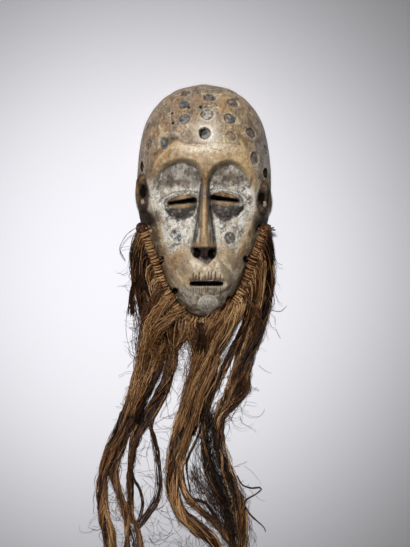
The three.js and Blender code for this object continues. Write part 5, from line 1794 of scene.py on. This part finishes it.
def band_turns(rng):
    """Turns of twisted fibre side by side round the core, each a few strands wide, darker as painted shade on
    their undersides and outer strands.
    """
    strands = 6
    wraps = int(BAND_RUN[-1] / WRAP_PITCH)
    base = np.repeat((np.arange(wraps) + 0.5) * WRAP_PITCH + rng.normal(0, 0.28, wraps), strands)
    inner = np.tile((np.arange(strands) - (strands - 1) / 2) * WRAP_WIDTH / strands, wraps)
    count = len(base)
    turn = np.radians(np.linspace(-160, 165, 13))[None] + np.zeros((count, 1))
    slant = np.repeat(rng.normal(1.4, 1.0, wraps), strands)[:, None] + rng.normal(0, 0.9, (count, 1))
    run = base[:, None] + inner[:, None] * (0.55 + 0.45 * np.cos(turn)) + slant * turn / np.pi * 0.8
    centre, along, away = band_frame(np.clip(run, 0, BAND_RUN[-1]))
    level = np.cross(away, along)
    level = level * np.sign(level[..., 2:])
    swell = WRAP_RADIUS + np.repeat(rng.normal(0, 0.25, wraps), strands)[:, None]
    swell = swell - np.abs(inner)[:, None] * 0.35 + 0.22 * rng.normal(0, 1, (count, 1))
    path = centre + (away * np.cos(turn)[..., None] + level * np.sin(turn)[..., None]) * swell[..., None]
    radius = np.full(path.shape[:2], 0.31) * rng.uniform(0.75, 1.2, (count, 1))
    tone = WRAP_TONE + np.repeat(rng.normal(0, 0.12, wraps), strands)[:, None]
    tone = tone + rng.normal(0, 0.26, (count, 1))
    # Painted shade: the outer strands of each turn and the lower side of every turn are darker
    tone = tone - 0.16 * (np.abs(inner)[:, None] > 0.8) - 0.3 * smooth(0.3, -0.8, np.sin(turn))
    tone = tone - 0.16 * smooth(0.55, 0.75, base / BAND_RUN[-1])[:, None]
    return tubes(path, radius, raffia_colour(tone), rng, flat=0.8)


def tie(angle, rng):
    """Three strands from the band through its hole in the wall, and the knot that holds them inside."""
    hole = wall_place(angle, band_height(angle) + TIE_ABOVE)
    end = hole + -dome_normal(hole[0], hole[1]) * TIE_DEPTH
    start = beside_wall(np.float64(angle), BAND_RADIUS + GAP)
    share = np.linspace(0, 1, 10)[None, :, None]
    slack = rng.normal(0, 0.7, (3, 1, 3)) * (1 - np.abs(2 * share - 1)) * 0.6
    tone = np.full((3, 10), 0.5) + rng.normal(0, 0.1, (3, 1))
    strands = tubes(start + (end - start) * share + slack, np.full((3, 10), 0.6), raffia_colour(tone), rng,
                    sides=5, flat=0.9)
    return [strands, knot(end, INNER_KNOT_RADIUS, 7, 0.5, 0.24, rng)]


def stub(rng):
    """The short loose end at the right of the band."""
    start = beside_wall(np.float64(BAND_TO), KNOT_RADIUS + GAP)
    tips = start + np.array([(1, -0.6, 2), (0.85, 1.4, 1), (0.5, 3.6, 0)]) * (STUB_LENGTH, 1, 1)
    share = np.linspace(0, 1, 9)[None, :, None]
    path = start + (tips[:, None] - start) * share + np.array([0, 0, 1.4]) * np.sin(share * np.pi)
    tone = np.full((3, 9), 0.42) + rng.normal(0, 0.08, (3, 1))
    return tubes(path, np.full((3, 9), 0.75), raffia_colour(tone), rng, sides=5, flat=0.9)


def wound_band():
    """The band: a core with its turns, an end knot at each end, the ties and the stub."""
    rng = np.random.default_rng(5)
    bundles = [band_core(rng), band_turns(rng)]
    for angle, tone in ((BAND_FROM, 0.24), (BAND_TO, 0.4)):
        middle = beside_wall(np.float64(angle), KNOT_RADIUS + GAP)
        bundles.append(knot(middle, KNOT_RADIUS, 26, tone, 0.11, rng))
    for angle in TIE_ANGLES:
        bundles += tie(angle, rng)
    bundles.append(stub(rng))
    return gather("wound_band", bundles)


def knot(middle, size, turns, tone, thickness, rng):
    """A lump of twine: rings of several slants round one place."""
    steps = 20
    turn = np.linspace(0, 2 * np.pi * 0.97, steps)[None, :, None]
    first = unit(rng.normal(0, 1, (turns, 1, 3)))
    second = unit(np.cross(first, rng.normal(0, 1, (turns, 1, 3))))
    thick = size * thickness
    reach = (size - thick) * rng.uniform(0.8, 1.0, (turns, 1, 1))
    path = middle + reach * (first * np.cos(turn) + second * np.sin(turn))
    path = path + rng.normal(0, 0.15, (turns, 1, 3)) * size * 0.3
    colour = raffia_colour(np.full((turns, steps), tone) + rng.normal(0, 0.16, (turns, 1)))
    return tubes(path, np.full((turns, steps), thick), colour, rng, sides=4, flat=0.9)


def raffia_locks(material):
    """Every lock as a piece of its own, with the strands and tangles that belong to it."""
    pieces = []
    for number, (name, lock) in enumerate(LOCKS.items()):
        bundles = [lock_bundle(lock, 100 + number), flyaway_bundle(lock, 200 + number),
                   curl_bundle(lock, 600 + number)]
        bundles += [strand_bundle(strand, 300 + number + 20 * i)
                    for i, strand in enumerate(STRANDS) if strand[0] == name]
        bundles += [tangle_bundle(tangle, 700 + i) for i, tangle in enumerate(TANGLES) if tangle[0] == name]
        piece = gather(f"fibres_{name}", bundles)
        piece.data.materials.append(material)
        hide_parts(f"raffia_lock_{name}")
        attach(piece, "root")
        pieces.append(piece)
    return pieces


# The photo's view, and the stage in metres from the origin of the frame
PHOTO_WIDTH, PHOTO_HEIGHT = 410, 547
MM_PER_PIXEL = 0.9
VIEW_CENTRE = (0.9, -65.0)
CAMERA_DISTANCE = 12.0
SENSOR = 36.0
FLOOR_HALF = 6.0
FLOOR_DROP = 0.0006
FLOOR_COLOUR = (0.885, 0.882, 0.932, 1)
POOL_PLACE = (-0.06, 0.56, 3.1)
POOL_SOFTNESS = 0.12


def make_camera():
    """A camera far over the mask that looks straight down, as the photo shows it."""
    data = bpy.data.cameras.new("camera")
    data.sensor_fit = "VERTICAL"
    data.sensor_height = SENSOR
    data.sensor_width = SENSOR * PHOTO_WIDTH / PHOTO_HEIGHT
    data.lens = SENSOR * CAMERA_DISTANCE / (PHOTO_HEIGHT * MM_PER_PIXEL * MM)
    data.clip_end = 20
    camera = add_object("camera", data)
    x, y = (np.array(VIEW_CENTRE) + SHIFT[:2]) * MM
    camera.location = (x, y, CAMERA_DISTANCE)
    bpy.context.scene.camera = camera


def add_lamp(name, data, place, target):
    """A lamp at a place, turned to a target."""
    lamp = add_object(name, data)
    lamp.location = place
    lamp.rotation_euler = (Vector(target) - Vector(place)).to_track_quat("-Z", "Y").to_euler()
    return lamp


def area_light(name, place, target, size, power, colour):
    data = bpy.data.lights.new(name, "AREA")
    data.shape = "RECTANGLE"
    data.size, data.size_y = size
    data.energy = power
    data.color = colour
    return add_lamp(name, data, place, target)


def leave_unlit(lamp, pieces):
    """Keeps a lamp's light, and the shadows in it, off some pieces."""
    group = bpy.data.collections.new(f"{lamp.name}_unlit")
    for piece in pieces:
        group.objects.link(piece)
    lamp.light_linking.receiver_collection = group
    for member in group.collection_objects:
        member.light_linking.link_state = "EXCLUDE"


def spot_light(name, target, reach, power):
    """A soft-edged pool of light that fades to nothing at a reach from its target."""
    data = bpy.data.lights.new(name, "SPOT")
    data.energy = power
    data.shadow_soft_size = POOL_SOFTNESS
    data.spot_size = 2 * math.atan(reach / (Vector(target) - Vector(POOL_PLACE)).length)
    data.spot_blend = 1.0
    return add_lamp(name, data, POOL_PLACE, target)


def make_floor():
    """A pale floor a hair below the object."""
    corners = [(-1, -1), (1, -1), (1, 1), (-1, 1)]
    mesh = bpy.data.meshes.new("floor")
    mesh.from_pydata([(x * FLOOR_HALF, y * FLOOR_HALF, -FLOOR_DROP) for x, y in corners], [], [(0, 1, 2, 3)])
    floor = add_object("floor", mesh)
    material = bpy.data.materials.new("floor")
    material.use_nodes = True
    shader = material.node_tree.nodes["Principled BSDF"]
    shader.inputs["Base Color"].default_value = FLOOR_COLOUR
    shader.inputs["Roughness"].default_value = 0.9
    mesh.materials.append(material)
    return floor


def make_stage():
    """The floor, the key light from beyond the crown, the pools of light on the floor and the dim air."""
    floor = make_floor()
    key = area_light("key", (-0.4, 1.05, 2.8), (0.0, 0.02, 0.0), (1.1, 1.1), 112.0, (1.0, 0.985, 0.96))
    pools = [spot_light("pool", (-0.037, 0.058, 0.0), 0.33, 325.0),
             spot_light("wash", (-0.06, 0.09, 0.0), 0.65, 78.0)]
    world = bpy.data.worlds.new("world")
    bpy.context.scene.world = world
    world.use_nodes = True
    air = world.node_tree.nodes["Background"]
    air.inputs["Color"].default_value = (1.0, 0.96, 0.92, 1)
    air.inputs["Strength"].default_value = 0.07
    bpy.context.scene.view_settings.view_transform = "Standard"
    return floor, key, pools


make_camera()
floor, key, pools = make_stage()

mask = carved_mask()
places, normals = mesh_places(mask)
paint(mask, *mask_colours(places, normals))
mask.data.materials.append(wood_material())
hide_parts("carved_mask")
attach(mask, "root")

raffia = raffia_material()
band = wound_band()
band.data.materials.append(raffia)
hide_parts("beard_band")
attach(band, "root")
pieces = [mask, band] + raffia_locks(raffia)

# The key models the object, the pools light the floor round it
leave_unlit(key, [floor])
for pool in pools:
    leave_unlit(pool, pieces)
